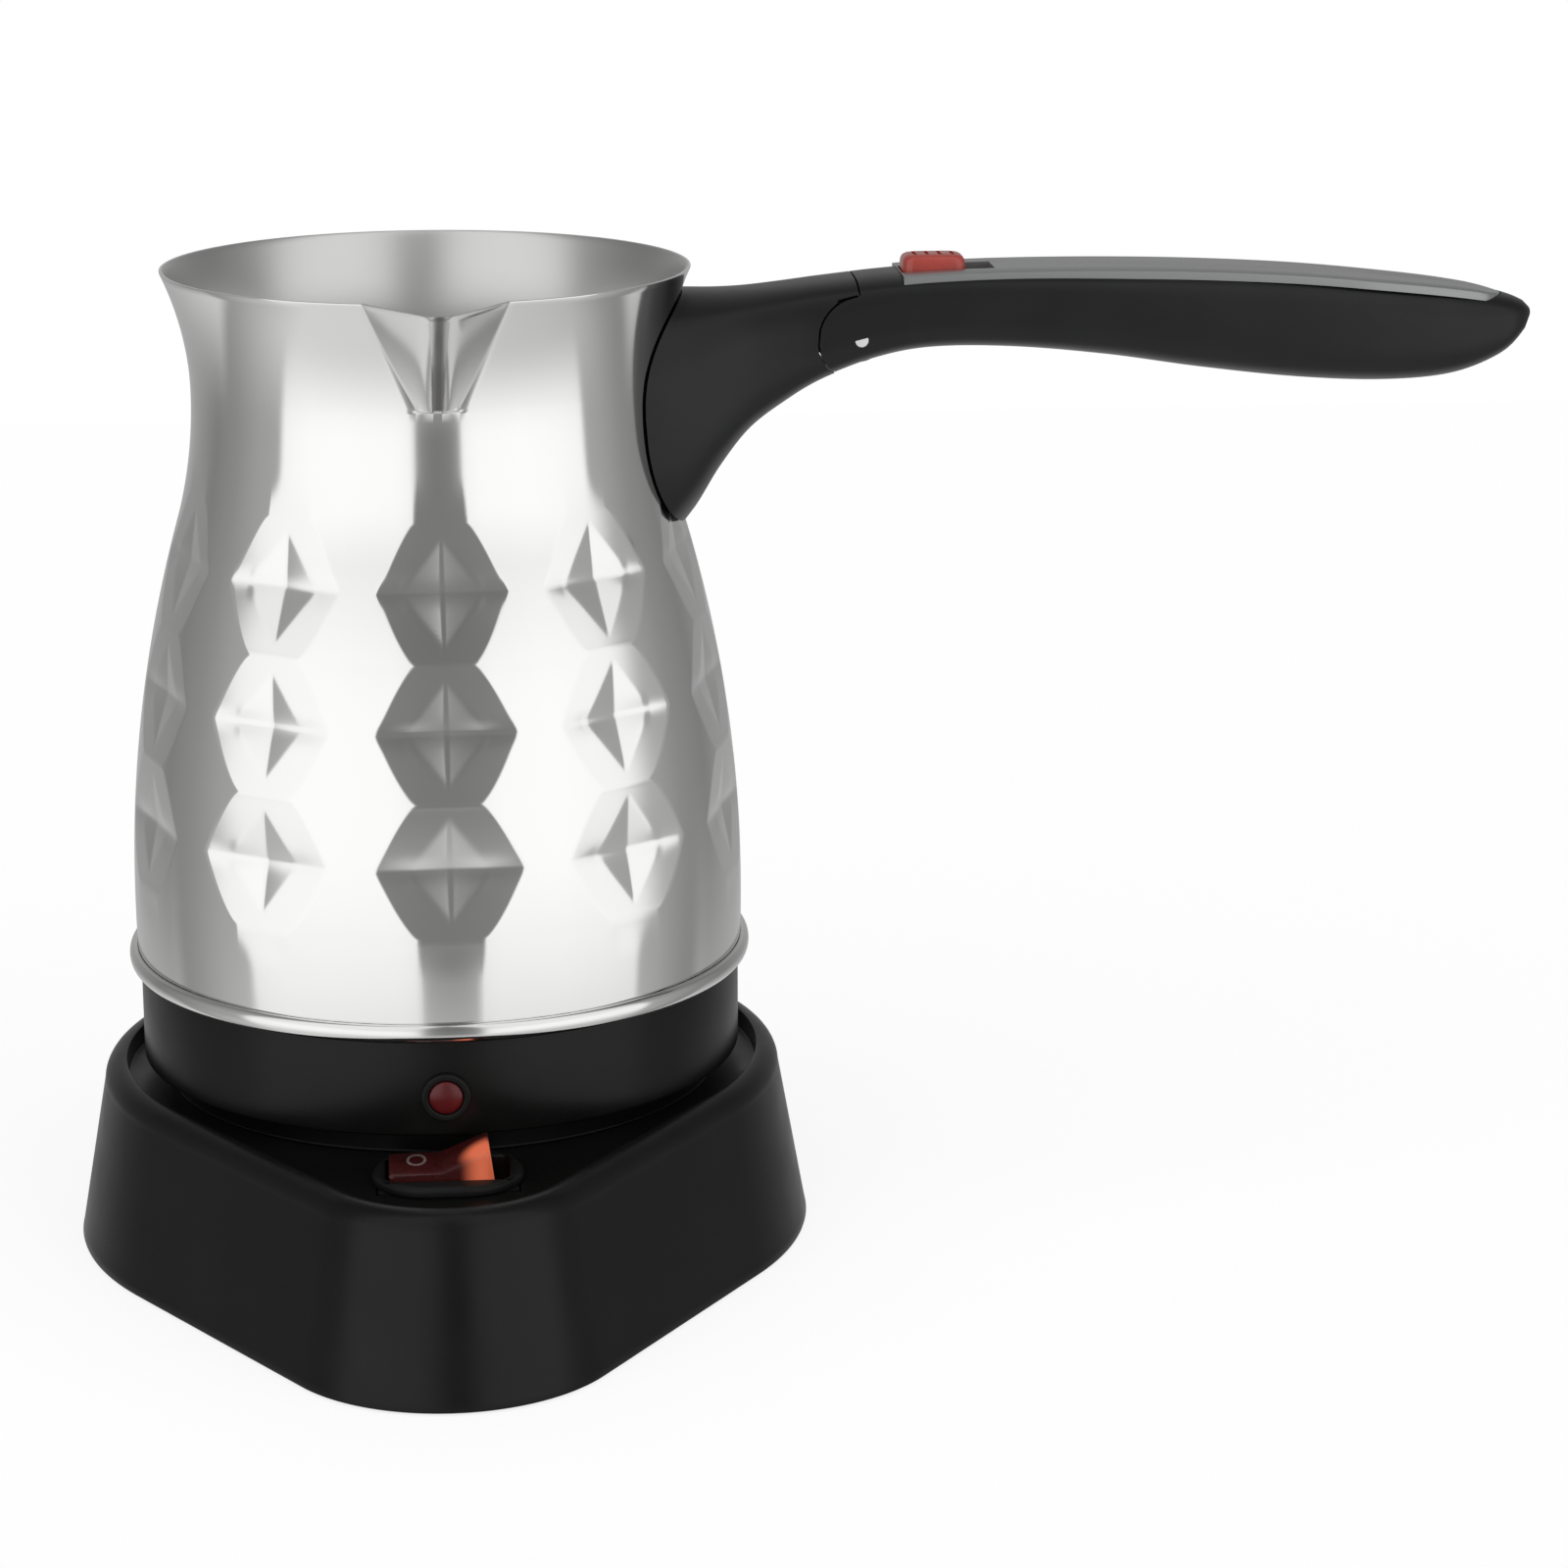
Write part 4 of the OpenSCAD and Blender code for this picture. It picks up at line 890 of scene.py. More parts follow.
@dataclass
class BaseShell:
    """Black base: a round part and a nose under one rounded lip, with the raised plinth."""

    radius: float = 63.6
    nose_r: float = 29.3
    nose_reach: float = 60.3
    skirt_h: float = 0.4
    crease_h: float = 28.0
    lean: float = 5.0
    lip_rise: float = 3.6
    lip_w: float = 3.8
    deck_h: float = 28.5
    wall: float = 2.4
    plinth_r: float = 47.0
    plinth_h: float = 36.0
    hole_r: float = 11.0
    switch_cut: tuple[float, float] = (23.2, 14.6)
    switch_y: float = -59.4
    inlet_h: float = 11.0
    inlet_r: float = 5.5

    def outline(self, inset: float, height: float) -> np.ndarray:
        """Gives the base's outline at an inset.

        Args:
            inset: Distance inside the outline at the table.
            height: Height above the table.

        Returns:
            Points of the outline, from the front towards the handle.
        """
        big, small = self.radius - inset, self.nose_r - inset
        lean = math.asin((big - small) / self.nose_reach)
        edge = math.pi / 2 - lean
        nose = np.linspace(0, edge, 28, endpoint=False)
        round_part = np.linspace(edge, math.pi, 90)
        front, back = [np.array((r * math.sin(edge), y - r * math.cos(edge)))
                       for r, y in ((small, -self.nose_reach), (big, 0.0))]
        half = ([(small * math.sin(a), -self.nose_reach - small * math.cos(a)) for a in nose]
                + [tuple(front * (1 - t) + back * t)
                   for t in np.linspace(0, 1, 14, endpoint=False)]
                + [(big * math.sin(a), -big * math.cos(a)) for a in round_part])
        other = [(-x, y) for x, y in half[-2:0:-1]]
        return np.array([(x, y, height) for x, y in half + other])

    def build(self) -> None:
        """Builds the housing with its openings."""
        deck, crown = self.deck_h, self.crease_h + self.lip_rise
        roof = deck - self.wall
        slope = self.lean / (self.crease_h - self.skirt_h)
        wall = [(0.3, self.skirt_h), (0.1, self.skirt_h + 0.1), (0.02, self.skirt_h + 0.35)]
        wall += [(slope * (z - self.skirt_h), z) for z in np.linspace(2, self.crease_h - 0.4, 9)]
        turn = np.linspace(0, math.pi / 2, 12)
        wall += [(self.lean + self.lip_rise * (1 - math.cos(a)),
                  self.crease_h + self.lip_rise * math.sin(a)) for a in turn]
        inner = self.lean + self.lip_w
        wall += [(inner, crown - 0.08), (inner + 0.12, crown - 0.4), (inner + 0.2, deck + 0.5),
                 (inner + 0.35, deck + 0.12), (inner + 0.7, deck)]
        rings = [self.outline(inset, z) for inset, z in wall]
        turns = np.arctan2(rings[-1][:, 0], -rings[-1][:, 1])
        plinth = fillet([(self.plinth_r + 0.8, deck, 0), (self.plinth_r, deck, 0.5),
                         (self.plinth_r, self.plinth_h, 0.8), (self.hole_r, self.plinth_h, 0.3),
                         (self.hole_r, self.plinth_h - self.wall, 0.1),
                         (self.plinth_r - self.wall, self.plinth_h - self.wall, 0.2),
                         (self.plinth_r - self.wall, roof, 0)], closed=False)
        rings += [np.array([(r * math.sin(a), -r * math.cos(a), z) for a in turns])
                  for r, z in plinth]
        lean_in = self.lean * (roof - self.skirt_h) / (self.crease_h - self.skirt_h)
        rings += [self.outline(self.wall + lean_in, roof), self.outline(self.wall, self.skirt_h)]
        piece = make("base_housing_skin", *loft(rings, looped=True), BLACK, crease=30)
        long, wide = self.switch_cut
        hole = box((-long / 2, self.switch_y - wide / 2, roof - 1),
                   (long / 2, self.switch_y + wide / 2, deck + 1))
        inlet = rod((0, self.radius - 15, self.inlet_h), (0, 1, 0), self.inlet_r, 24)
        combine(piece, [hole, inlet], crease=30)
        settle(piece, "base", "black_plastic", "base_housing")


@dataclass
class RockerSwitch:
    """Oval bezel with its well, and the red clear rocker in it."""

    y: float = -59.4
    deck_h: float = 28.5
    bezel_l: float = 24.6
    bezel_w: float = 19.0
    bezel_t: float = 1.6
    well_l: float = 20.0
    well_w: float = 11.0
    well_t: float = 7.0
    box_l: float = 22.6
    box_w: float = 14.0
    box_t: float = 14.0
    pivot_h: float = 25.5
    rocker_l: float = 16.6
    rocker_w: float = 10.4
    rocker_mid: float = 5.8
    rocker_end: float = 7.4
    tilt: float = 12.0

    def rounded(self, long: float, wide: float, corner: float, height: float) -> np.ndarray:
        """Gives a rounded rectangle round the switch's centre.

        Args:
            long: Its length along X.
            wide: Its width along Y.
            corner: Radius of its corners.
            height: Height above the table.

        Returns:
            96 points, spaced evenly in angle round the centre.
        """
        points = []
        for angle in np.linspace(0, 2 * math.pi, 96, endpoint=False):
            dx, dy = math.cos(angle), math.sin(angle)
            low, high = 0.0, long + wide
            for _ in range(40):
                reach = (low + high) / 2
                x = max(0.0, abs(dx) * reach - (long / 2 - corner))
                y = max(0.0, abs(dy) * reach - (wide / 2 - corner))
                low, high = (reach, high) if math.hypot(x, y) < corner else (low, reach)
            points.append((dx * low, self.y + dy * low, height))
        return np.array(points)

    def build_bezel(self) -> None:
        """Builds the bezel, its well and the box under the deck."""
        seat, floor = self.deck_h + 0.05, self.pivot_h - self.well_t
        top = seat + self.bezel_t
        rings = []
        for inset, z in ((0.15, seat), (0.0, self.deck_h + 0.2),
                         (0.05, top - 0.75), (0.25, top - 0.4), (0.6, top - 0.12),
                         (1.1, top)):
            wide = self.bezel_w - 2 * inset
            rings.append(self.rounded(self.bezel_l - 2 * inset, wide, wide / 2 - 0.01, z))
        for inset, z in ((-0.5, top), (-0.2, top - 0.08), (0.0, top - 0.35), (0.0, floor)):
            rings.append(self.rounded(self.well_l - 2 * inset, self.well_w - 2 * inset, 1.2, z))
        low = self.deck_h - self.box_t
        rings += [self.rounded(1.0, 0.6, 0.2, z) for z in (floor, low)]
        rings += [self.rounded(self.box_l, self.box_w, 0.5, z) for z in (low, seat)]
        bezel = make("switch_bezel", *loft(rings, looped=True), DARK, crease=35)
        settle(bezel, "base", "black_plastic", "switch_housing")

    def build_rocker(self) -> None:
        """Builds the rocker, tilted to its rest side."""
        half = self.rocker_l / 2
        end, middle = self.rocker_end, self.rocker_mid
        corners = [(-half, end, 0.5), (0, middle, 3.0), (half, end, 0.5), (half * 0.93, 0, 1.0),
                   (half * 0.4, -4.2, 0.8), (-half * 0.4, -4.2, 0.8), (-half * 0.93, 0, 1.0)]
        outline = fillet(corners, 5)
        rings = []
        for inset, side in ((0.5, 1.0), (0.15, 0.985), (0.0, 0.94), (0.0, -0.94),
                            (0.15, -0.985), (0.5, -1.0)):
            rings.append([(x * (1 - inset / half), side * self.rocker_w / 2,
                           1.0 + (z - 1.0) * (1 - inset / 5)) for x, z in outline])
        turn = Matrix.Rotation(math.radians(-self.tilt), 4, "Y")
        place = Matrix.Translation((0, self.y, self.pivot_h)) @ turn
        rings = [[tuple(place @ Vector(point)) for point in ring] for ring in rings]
        rocker = make("switch_rocker", *loft(rings), ROCKER_RED, crease=40)
        fix = bmesh.new()
        fix.from_mesh(rocker.data)
        bmesh.ops.recalc_face_normals(fix, faces=fix.faces)
        fix.to_mesh(rocker.data)
        fix.free()
        settle(rocker, "rocker", "red_clear_plastic", "rocker")

    def build(self) -> None:
        """Builds the bezel and the rocker."""
        self.build_bezel()
        self.build_rocker()


# ---- handle


@dataclass
class HandleForm:
    """Rounded sections through stations of x, top, bottom, half width and roundness."""

    stations: list[tuple[float, float, float, float, float]]
    points: int = 96

    def __post_init__(self) -> None:
        """Fills the fine table that sections are read from."""
        rows = np.array(self.stations, float)
        padded = np.vstack([rows[:1], rows, rows[-1:]])
        fine = []
        for k in range(len(rows) - 1):
            a, b, c, d = padded[k:k + 4]
            for t in np.linspace(0, 1, 24, endpoint=False):
                fine.append(0.5 * (2 * b + (c - a) * t + (2 * a - 5 * b + 4 * c - d) * t * t
                                   + (3 * b - a - 3 * c + d) * t ** 3))
        fine.append(rows[-1])
        self.table = np.array(fine)

    def value(self, x: np.ndarray | float, column: int) -> np.ndarray:
        """Reads one of the table's columns at x."""
        return np.interp(x, self.table[:, 0], self.table[:, column])

    def angles(self) -> np.ndarray:
        """Gives the section's angles, from the top down one side and up the other."""
        return math.pi / 2 - 2 * math.pi * (np.arange(self.points) + 0.5) / self.points

    def spot(self, x: np.ndarray, angle: np.ndarray) -> np.ndarray:
        """Gives points of the form.

        Args:
            x: Distances from the pot's axis.
            angle: Angles round the section.

        Returns:
            Points, one for each pair.
        """
        top, low = self.value(x, 1), self.value(x, 2)
        half, power = self.value(x, 3), self.value(x, 4)
        y = half * np.sign(np.cos(angle)) * np.abs(np.cos(angle)) ** (2 / power)
        z = ((top + low) / 2 + (top - low) / 2 * np.sign(np.sin(angle))
             * np.abs(np.sin(angle)) ** (2 / (power + 0.6)))
        return np.stack([np.asarray(x, float) + 0 * y, y, z], axis=-1)

    def limit(self, low: float, high: float, inside: Callable[[np.ndarray], np.ndarray]
              ) -> np.ndarray:
        """Finds where each line along the handle crosses a limit.

        Args:
            low: Distance at which every line is outside the form.
            high: Distance at which every line is inside it.
            inside: Tells which points are inside.

        Returns:
            Distance of the crossing for each line.
        """
        angle = self.angles()
        outer, inner = np.full(len(angle), low), np.full(len(angle), high)
        for _ in range(40):
            middle = (outer + inner) / 2
            kept = inside(self.spot(middle, angle))
            inner, outer = np.where(kept, middle, inner), np.where(kept, outer, middle)
        return (outer + inner) / 2

    def sleeve(self, start: np.ndarray, end: np.ndarray, steps: int) -> np.ndarray:
        """Gives rings of points from each line's start to its end."""
        return np.array([self.spot(start + (end - start) * t, self.angles())
                         for t in np.linspace(0, 1, steps + 1)])


def cap(ring: np.ndarray, start: int, flip: bool, bulge: Callable[[np.ndarray], np.ndarray],
        across: int = 10) -> Shape:
    """Closes a sleeve with a sheet that runs from side to side.

    Args:
        ring: The sleeve's last ring, whose sides mirror each other.
        start: Number of the ring's first point in the mesh.
        flip: Whether the sheet faces towards the pot.
        bulge: Gives the distance from the pot's axis of each of the sheet's points.
        across: Number of steps across.

    Returns:
        The sheet's inner points and its faces. Their numbers start at -1 and go down.
    """
    count = len(ring)
    half = count // 2
    extra: list[np.ndarray] = []
    lines = []
    for k in range(half):
        right, left = ring[k], ring[count - 1 - k]
        line = [start + k]
        for step in range(1, across):
            point = right + (left - right) * step / across
            extra.append(bulge(point))
            line.append(-len(extra))
        lines.append(line + [start + count - 1 - k])
    faces = []
    for upper, lower in zip(lines, lines[1:]):
        for k in range(across):
            face = (upper[k], upper[k + 1], lower[k + 1], lower[k])
            faces.append(face[::-1] if flip else face)
    return np.array(extra), faces


def closed_sleeve(rings: np.ndarray, first: Callable, last: Callable) -> Shape:
    """Joins rings along the handle and closes both ends.

    Args:
        rings: Rings of points.
        first: Places the points of the sheet at the first ring.
        last: Places the points of the sheet at the last ring.

    Returns:
        Points and faces.
    """
    rows, count = rings.shape[:2]
    points = rings.reshape(-1, 3)
    faces = ring_faces(rows, count)
    for number, place, flip in ((0, first, True), (rows - 1, last, False)):
        extra, sheet = cap(rings[number], number * count, flip, place)
        base = len(points)
        points = np.vstack([points, extra])
        faces += [tuple(k if k >= 0 else base - k - 1 for k in face) for face in sheet]
    return points, faces


@dataclass
class Hinge:
    """Sizes that the neck, the grip and the latch share round the hinge pin."""

    x: float = 72.0
    h: float = 155.9
    lobe_r: float = 7.1
    knuckle_r: float = 4.4
    tongue_half: float = 5.4
    gap: float = 0.3
    seam_rise: float = 19.0
    top_in: float = 1.4
    low_in: float = 0.1
    groove_r: float = 3.1
    groove_half: float = 2.3
    bolt_low: float = 0.4
    bolt_top: float = 3.4

    @property
    def seam_h(self) -> float:
        """Height at which the sloping seam starts."""
        return self.h + self.lobe_r

    def seam(self, height: np.ndarray) -> np.ndarray:
        """Gives the sloping seam's distance from the pot's axis."""
        share = (height - self.seam_h) / (self.h + self.seam_rise - self.seam_h)
        return self.x - self.low_in + (self.low_in - self.top_in) * share

    def grip_side(self, spots: np.ndarray) -> np.ndarray:
        """Tells which points are on the grip's side of the seam."""
        x, z = spots[..., 0], spots[..., 2]
        lobe = (x - self.x) ** 2 + (z - self.h) ** 2 < self.lobe_r ** 2
        return np.where(z > self.seam_h, x > self.seam(z), lobe | (x > self.x))

    def neck_side(self, spots: np.ndarray) -> np.ndarray:
        """Tells which points are on the neck's side of the seam."""
        x, z = spots[..., 0], spots[..., 2]
        free = (x - self.x) ** 2 + (z - self.h) ** 2 > (self.lobe_r + self.gap) ** 2
        return np.where(z > self.seam_h, x < self.seam(z) - self.gap, free & (x < self.x - 4))


@dataclass
class HandleNeck:
    """Fixed root of the handle, from the pot's wall to the hinge."""

    wall: Wall
    hinge: Hinge
    screw_x: tuple[float, float] = (49.0, 56.2)
    screw_foot: float = 110.0
    screw_r: float = 3.1
    tab_h: float = 148.0
    wall_between: tuple[float, float] = (34.0, 62.0)
    end_between: tuple[float, float] = (73.9, 60.0)
    tongue_reach: float = 9.0
    groove_back: float = 2.4

    def form(self) -> HandleForm:
        """Gives the neck's sections."""
        wall_x, pin = self.wall.waist_r, self.hinge.x
        return HandleForm([
            (wall_x - 5, 163.6, 120.5, 18.6, 2.6), (wall_x, 163.6, 121.8, 17.4, 2.4),
            (wall_x + 4.5, 163.5, 126.5, 15.6, 2.4), (wall_x + 9, 163.4, 133.8, 13.6, 2.6),
            (wall_x + 14, 163.6, 140.2, 12, 2.8), (wall_x + 20, 164.2, 144.8, 11, 3),
            (wall_x + 26, 164.9, 148.4, 10.5, 3.2), (pin + 2, 165.8, 151.8, 10.5, 3.2)])

    def on_wall(self, point: np.ndarray) -> np.ndarray:
        """Moves a point onto the wall's outside."""
        far = float(self.wall.radius(min(point[2], self.wall.rim_h))) + self.hinge.gap
        return np.array([math.sqrt(far ** 2 - point[1] ** 2), point[1], point[2]])

    def build(self) -> None:
        """Builds the neck with its tongue and screw holes."""
        form, hinge = self.form(), self.hinge

        def off_wall(spots: np.ndarray) -> np.ndarray:
            """Tells which points are outside the wall."""
            far = self.wall.radius(np.minimum(spots[..., 2], self.wall.rim_h)) + hinge.gap
            return np.hypot(spots[..., 0], spots[..., 1]) > far

        start = form.limit(*self.wall_between, off_wall)
        end = form.limit(*self.end_between, hinge.neck_side)
        sleeve = closed_sleeve(form.sleeve(start, end, 40), self.on_wall, lambda point: point)
        neck = make("handle_neck_skin", *sleeve, HANDLE_BLACK_PAINTED_LIGHT, crease=36)
        combine(neck, [rod((x, 0, self.screw_foot), (0, 0, 1), self.screw_r,
                           self.tab_h - self.screw_foot) for x in self.screw_x], crease=36)
        reach = self.tongue_reach
        tongue = make("tongue", *box((hinge.x - reach, -hinge.tongue_half, hinge.h - 2),
                                     (hinge.x, hinge.tongue_half, hinge.seam_h - 1)),
                      HANDLE_BLACK_PAINTED_LIGHT)
        outer, inner, half = hinge.knuckle_r + 1, hinge.groove_r, hinge.groove_half
        sweep = [(outer, -half), (outer, half), (inner, half), (inner, -half)]
        knuckle = rod((hinge.x, -hinge.tongue_half, hinge.h), (0, 1, 0), hinge.knuckle_r,
                      2 * hinge.tongue_half)
        combine(tongue, [knuckle], "UNION")
        groove = make("groove", *lathe(sweep, 96, (0, 1, 0), (hinge.x, 0, hinge.h)), BLACK)
        combine(groove, [box((hinge.x - self.groove_back, -4, hinge.h - reach),
                             (hinge.x + reach, 4, hinge.h + hinge.bolt_top))], "INTERSECT")
        shape = ([tuple(v.co / MM) for v in groove.data.vertices],
                 [tuple(p.vertices) for p in groove.data.polygons])
        bpy.data.objects.remove(groove)
        combine(tongue, [shape])
        self.merge(neck, tongue)
        settle(neck, "pot", "black_plastic", "handle_neck")

    def merge(self, neck: Piece, tongue: Piece) -> None:
        """Puts the tongue's mesh into the neck's.

        Args:
            neck: The neck, which stays.
            tongue: The tongue, which goes.
        """
        both = bmesh.new()
        both.from_mesh(neck.data)
        both.from_mesh(tongue.data)
        both.to_mesh(neck.data)
        both.free()
        bpy.data.objects.remove(tongue)


@dataclass
class Grip:
    """Folding grip with the grey trim strip on top."""

    hinge: Hinge
    reach: float = 187.6
    half: float = 10.5
    trim_t: float = 1.6
    trim_inset: float = 1.7
    trim_nose: float = 5.0
    slot_start: float = 7.4
    slot_l: float = 15.7
    slot_w: float = 8.0
    slack: float = 0.4
    latch_room: tuple[float, float] = (7.0, 27.5)
    latch_half: float = 4.2
    screw_start: float = 40.0
    screw_end: float = 26.0
    screw_r: float = 2.4
    screw_seat: float = 1.9
    above: float = 20.0
    below: float = 26.0

    @property
    def trim_x(self) -> tuple[float, float]:
        """Both ends of the trim strip."""
        return self.hinge.x + 7.2, self.reach - 5

    def form(self) -> HandleForm:
        """Gives the grip's sections."""
        pin, tip = self.hinge.x, self.reach
        return HandleForm([
            (pin - 8, 164.6, 148, 10.5, 3.2), (pin + 2, 165.8, 151.8, 10.5, 3.2),
            (pin + 12, 166.5, 153.7, 10.6, 3.2), (pin + 26, 166.9, 153.6, 10.8, 3.2),
            (pin + 42, 166.9, 152, 11, 3), (pin + 58, 166.5, 149.6, 11, 3),
            (tip - 41, 165.6, 147.6, 10.8, 2.9), (tip - 26, 164.2, 146.8, 10.3, 2.8),
            (tip - 14, 162.8, 147.6, 9.2, 2.6), (tip - 5.5, 161.3, 150.6, 7.1, 2.4),
            (tip - 1.4, 159.9, 154.2, 4.5, 2.2), (tip, 158.7, 156.8, 2.1, 2)])

    def strip(self, extra: float, top: float, low: float) -> Shape:
        """Gives the trim strip, or the recess it lies in.

        Args:
            extra: How much larger than the strip it is on each side.
            top: Height of its top above the grip's top.
            low: Depth of its underside below the grip's top.

        Returns:
            Points and faces.
        """
        form = self.form()
        first, last, nose = self.trim_x[0] - extra, self.trim_x[1] + extra, self.trim_nose
        stops = np.concatenate([np.linspace(first, last - nose, 48),
                                last - nose * (1 - np.sin(np.linspace(0, math.pi / 2, 9)[1:]))])
        rings = []
        for x in stops:
            half = min(self.half, float(form.value(x, 3))) - self.trim_inset + extra
            if x > last - nose:
                share = (x - last + nose) / nose
                half *= math.sqrt(max(0.004, 1 - share ** 2 * 0.995))
            crest = float(form.value(x, 1))
            edge = min(0.35, half * 0.4)
            side = [(half, crest - low), (half, crest + top - edge - 0.12),
                    (half - edge * 0.35, crest + top - edge * 0.35 - 0.08),
                    (half - edge, crest + top - 0.06), (half * 0.5, crest + top - 0.02)]
            rings.append([(x, y, z) for y, z in side] + [(x, -y, z) for y, z in side[::-1]])
        return loft(rings)

    def build(self) -> None:
        """Builds the grip and the trim."""
        hinge, form = self.hinge, self.form()
        start = form.limit(hinge.x - 7.9, hinge.x + 1, hinge.grip_side)
        end = np.full(form.points, self.reach)
        sleeve = closed_sleeve(form.sleeve(start, end, 110), lambda point: point,
                               lambda point: point)
        grip = make("grip_skin", *sleeve, HANDLE_BLACK_PAINTED_LIGHT, crease=36)
        combine(grip, [self.strip(0.15, 6, self.trim_t), *self.rooms()], crease=36)
        settle(grip, "grip", "black_plastic", "grip_body")
        trim = make("grip_trim_strip", *self.strip(0, 0, self.trim_t - 0.1), TRIM_GREY)
        low = hinge.x + self.slot_start
        combine(trim, [box((low, -self.slot_w / 2, hinge.h),
                           (low + self.slot_l, self.slot_w / 2, hinge.h + self.above))])
        settle(trim, "grip", "grey_plastic", "grip_trim")

    def rooms(self) -> list[Shape]:
        """Lists the rooms cut into the grip for the tongue, the latch and the screws."""
        hinge, channel = self.hinge, self.hinge.tongue_half + self.slack
        first, last = self.latch_room
        rooms = [
            rod((hinge.x, -channel, hinge.h), (0, 1, 0), hinge.knuckle_r + self.slack,
                2 * channel),
            box((hinge.x - self.above, -channel, hinge.h - self.below),
                (hinge.x, channel, hinge.seam_h)),
            box((hinge.x + first, -self.latch_half, hinge.h - 1),
                (hinge.x + last, self.latch_half, hinge.h + self.above)),
            box((hinge.x, -hinge.groove_half, hinge.h + hinge.bolt_low),
                (hinge.x + self.above, hinge.groove_half, hinge.h + hinge.bolt_top)),
        ]
        for x in (hinge.x + self.screw_start, self.reach - self.screw_end):
            seat = float(self.form().value(x, 2)) + self.screw_seat
            foot = hinge.h - self.below
            rooms.append(rod((x, 0, foot), (0, 0, 1), self.screw_r, seat - foot))
        return rooms


@dataclass
class Latch:
    """Red slide button on the grip and the spring that brings it back."""

    hinge: Hinge
    start: float = 7.7
    length: float = 10.6
    width: float = 7.4
    corner_r: float = 1.8
    top: float = 169.0
    foot: float = 165.1
    stem_foot: float = 159.1
    stem: tuple[float, float] = (2.0, 8.0)
    stem_half: float = 2.6
    ribs: int = 4
    rib_half: float = 0.3
    rib_edge: float = 1.4
    rib_depth: float = 0.35
    coil_start: float = 91.7
    coil_end: float = 99.1
    coil_rise: float = 5.1
    coil_r: float = 1.6
    wire_r: float = 0.3
    turns: int = 5
    coil_keep: float = 0.38

    def build_button(self) -> None:
        """Builds the button with its ribs."""
        start, long, wide = self.hinge.x + self.start, self.length / 2, self.width / 2
        rings = []
        for inset, z in ((0.0, self.foot), (0.0, self.top - 1.5), (0.12, self.top - 0.9),
                         (0.4, self.top - 0.42), (0.85, self.top - 0.14), (1.5, self.top)):
            outline = fillet([(x * (long - inset), y * (wide - inset), self.corner_r)
                              for x, y in ((-1, -1), (1, -1), (1, 1), (-1, 1))], 7)
            rings.append([(start + long + x, y, z) for x, y in outline])
        button = make("slide_button", *loft(rings), RED, crease=40)
        first, last = self.stem
        stem = box((start + first, -self.stem_half, self.stem_foot),
                   (start + last, self.stem_half, self.foot + 0.5))
        half, edge = self.rib_half, wide - self.rib_edge
        middles = [start + k * self.length / (self.ribs + 1) for k in range(1, self.ribs + 1)]
        ribs = [box((x - half, -edge, self.top - self.rib_depth), (x + half, edge, self.top + 1))
                for x in middles]
        combine(button, ribs, crease=40)
        combine(button, [stem], "UNION", crease=40)
        settle(button, "latch", "red_plastic", "latch_button")

    def build_spring(self) -> None:
        """Builds the coil and gives it a mesh of its own."""
        steps, wire, height = self.turns * 24, self.wire_r, self.hinge.h + self.coil_rise
        rings = []
        for step in range(steps + 1):
            turn = 2 * math.pi * self.turns * step / steps
            x = self.coil_start + wire + step / steps * (
                self.coil_end - self.coil_start - 2 * wire)
            wires = [(x + wire * math.cos(a), self.coil_r + wire * math.sin(a))
                     for a in np.linspace(0, 2 * math.pi, 10, endpoint=False)]
            rings.append([(along, far * math.cos(turn), height + far * math.sin(turn))
                          for along, far in wires])
        spring = make("latch_coil", *loft(rings), WORKED_STEEL, crease=60)
        settle(spring, "grip", "ring_steel", "latch_spring")
        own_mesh(spring)

    def build(self) -> None:
        """Builds the button and the spring."""
        self.build_button()
        self.build_spring()


# ---- pieces that keep their CAD solids


@dataclass
class HiddenParts:
    """CAD nodes that stay as they are and get their finishes."""

    finishes: tuple[tuple[Finish, str, tuple[str, ...]], ...] = (
        (BLACK, "black_plastic", ("base_bottom_plate", "collar_bottom")),
        (RUBBER, "foot_rubber", ("rubber_feet",)),
        (DARK, "connector_plastic", ("base_connector", "cord_inlet_bush", "pot_connector")),
        (BRASS, "contact_brass", ("base_contacts", "switch_terminals", "pot_contacts")),
        (SLEEVE, "lead_sleeve", ("base_leads", "pot_leads")),
        (BODY_STEEL, "body_steel", ("pot_floor",)),
        (GASKET, "gasket_rubber", ("floor_gasket",)),
        (ALUMINIUM, "plate_aluminium", ("heater_plate",)),
        (ELEMENT, "element_steel", ("heating_element",)),
        (CERAMIC, "pale_ceramic", ("thermostat", "thermal_fuse")),
        (GLASS, "bulb_glass", ("lamp_bulb",)),
        (PIN_STEEL, "ring_steel", ("hinge_pin",)),
        (WORKED_STEEL, "ring_steel", ("handle_bracket", "latch_bolt")),
        (WORKED_STEEL, "screw_steel", ("bottom_screws", "connector_screws", "collar_screws",
                                       "neck_screws", "trim_screws")),
    )

    def build(self) -> None:
        """Gives each node its finish."""
        for finish, slot, names in self.finishes:
            for name in names:
                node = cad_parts[name]
                node.data.materials.clear()
                node.data.materials.append(material_of(finish))
                log.info("%s keeps its solid and takes %s", name, finish.name)


# ---- studio


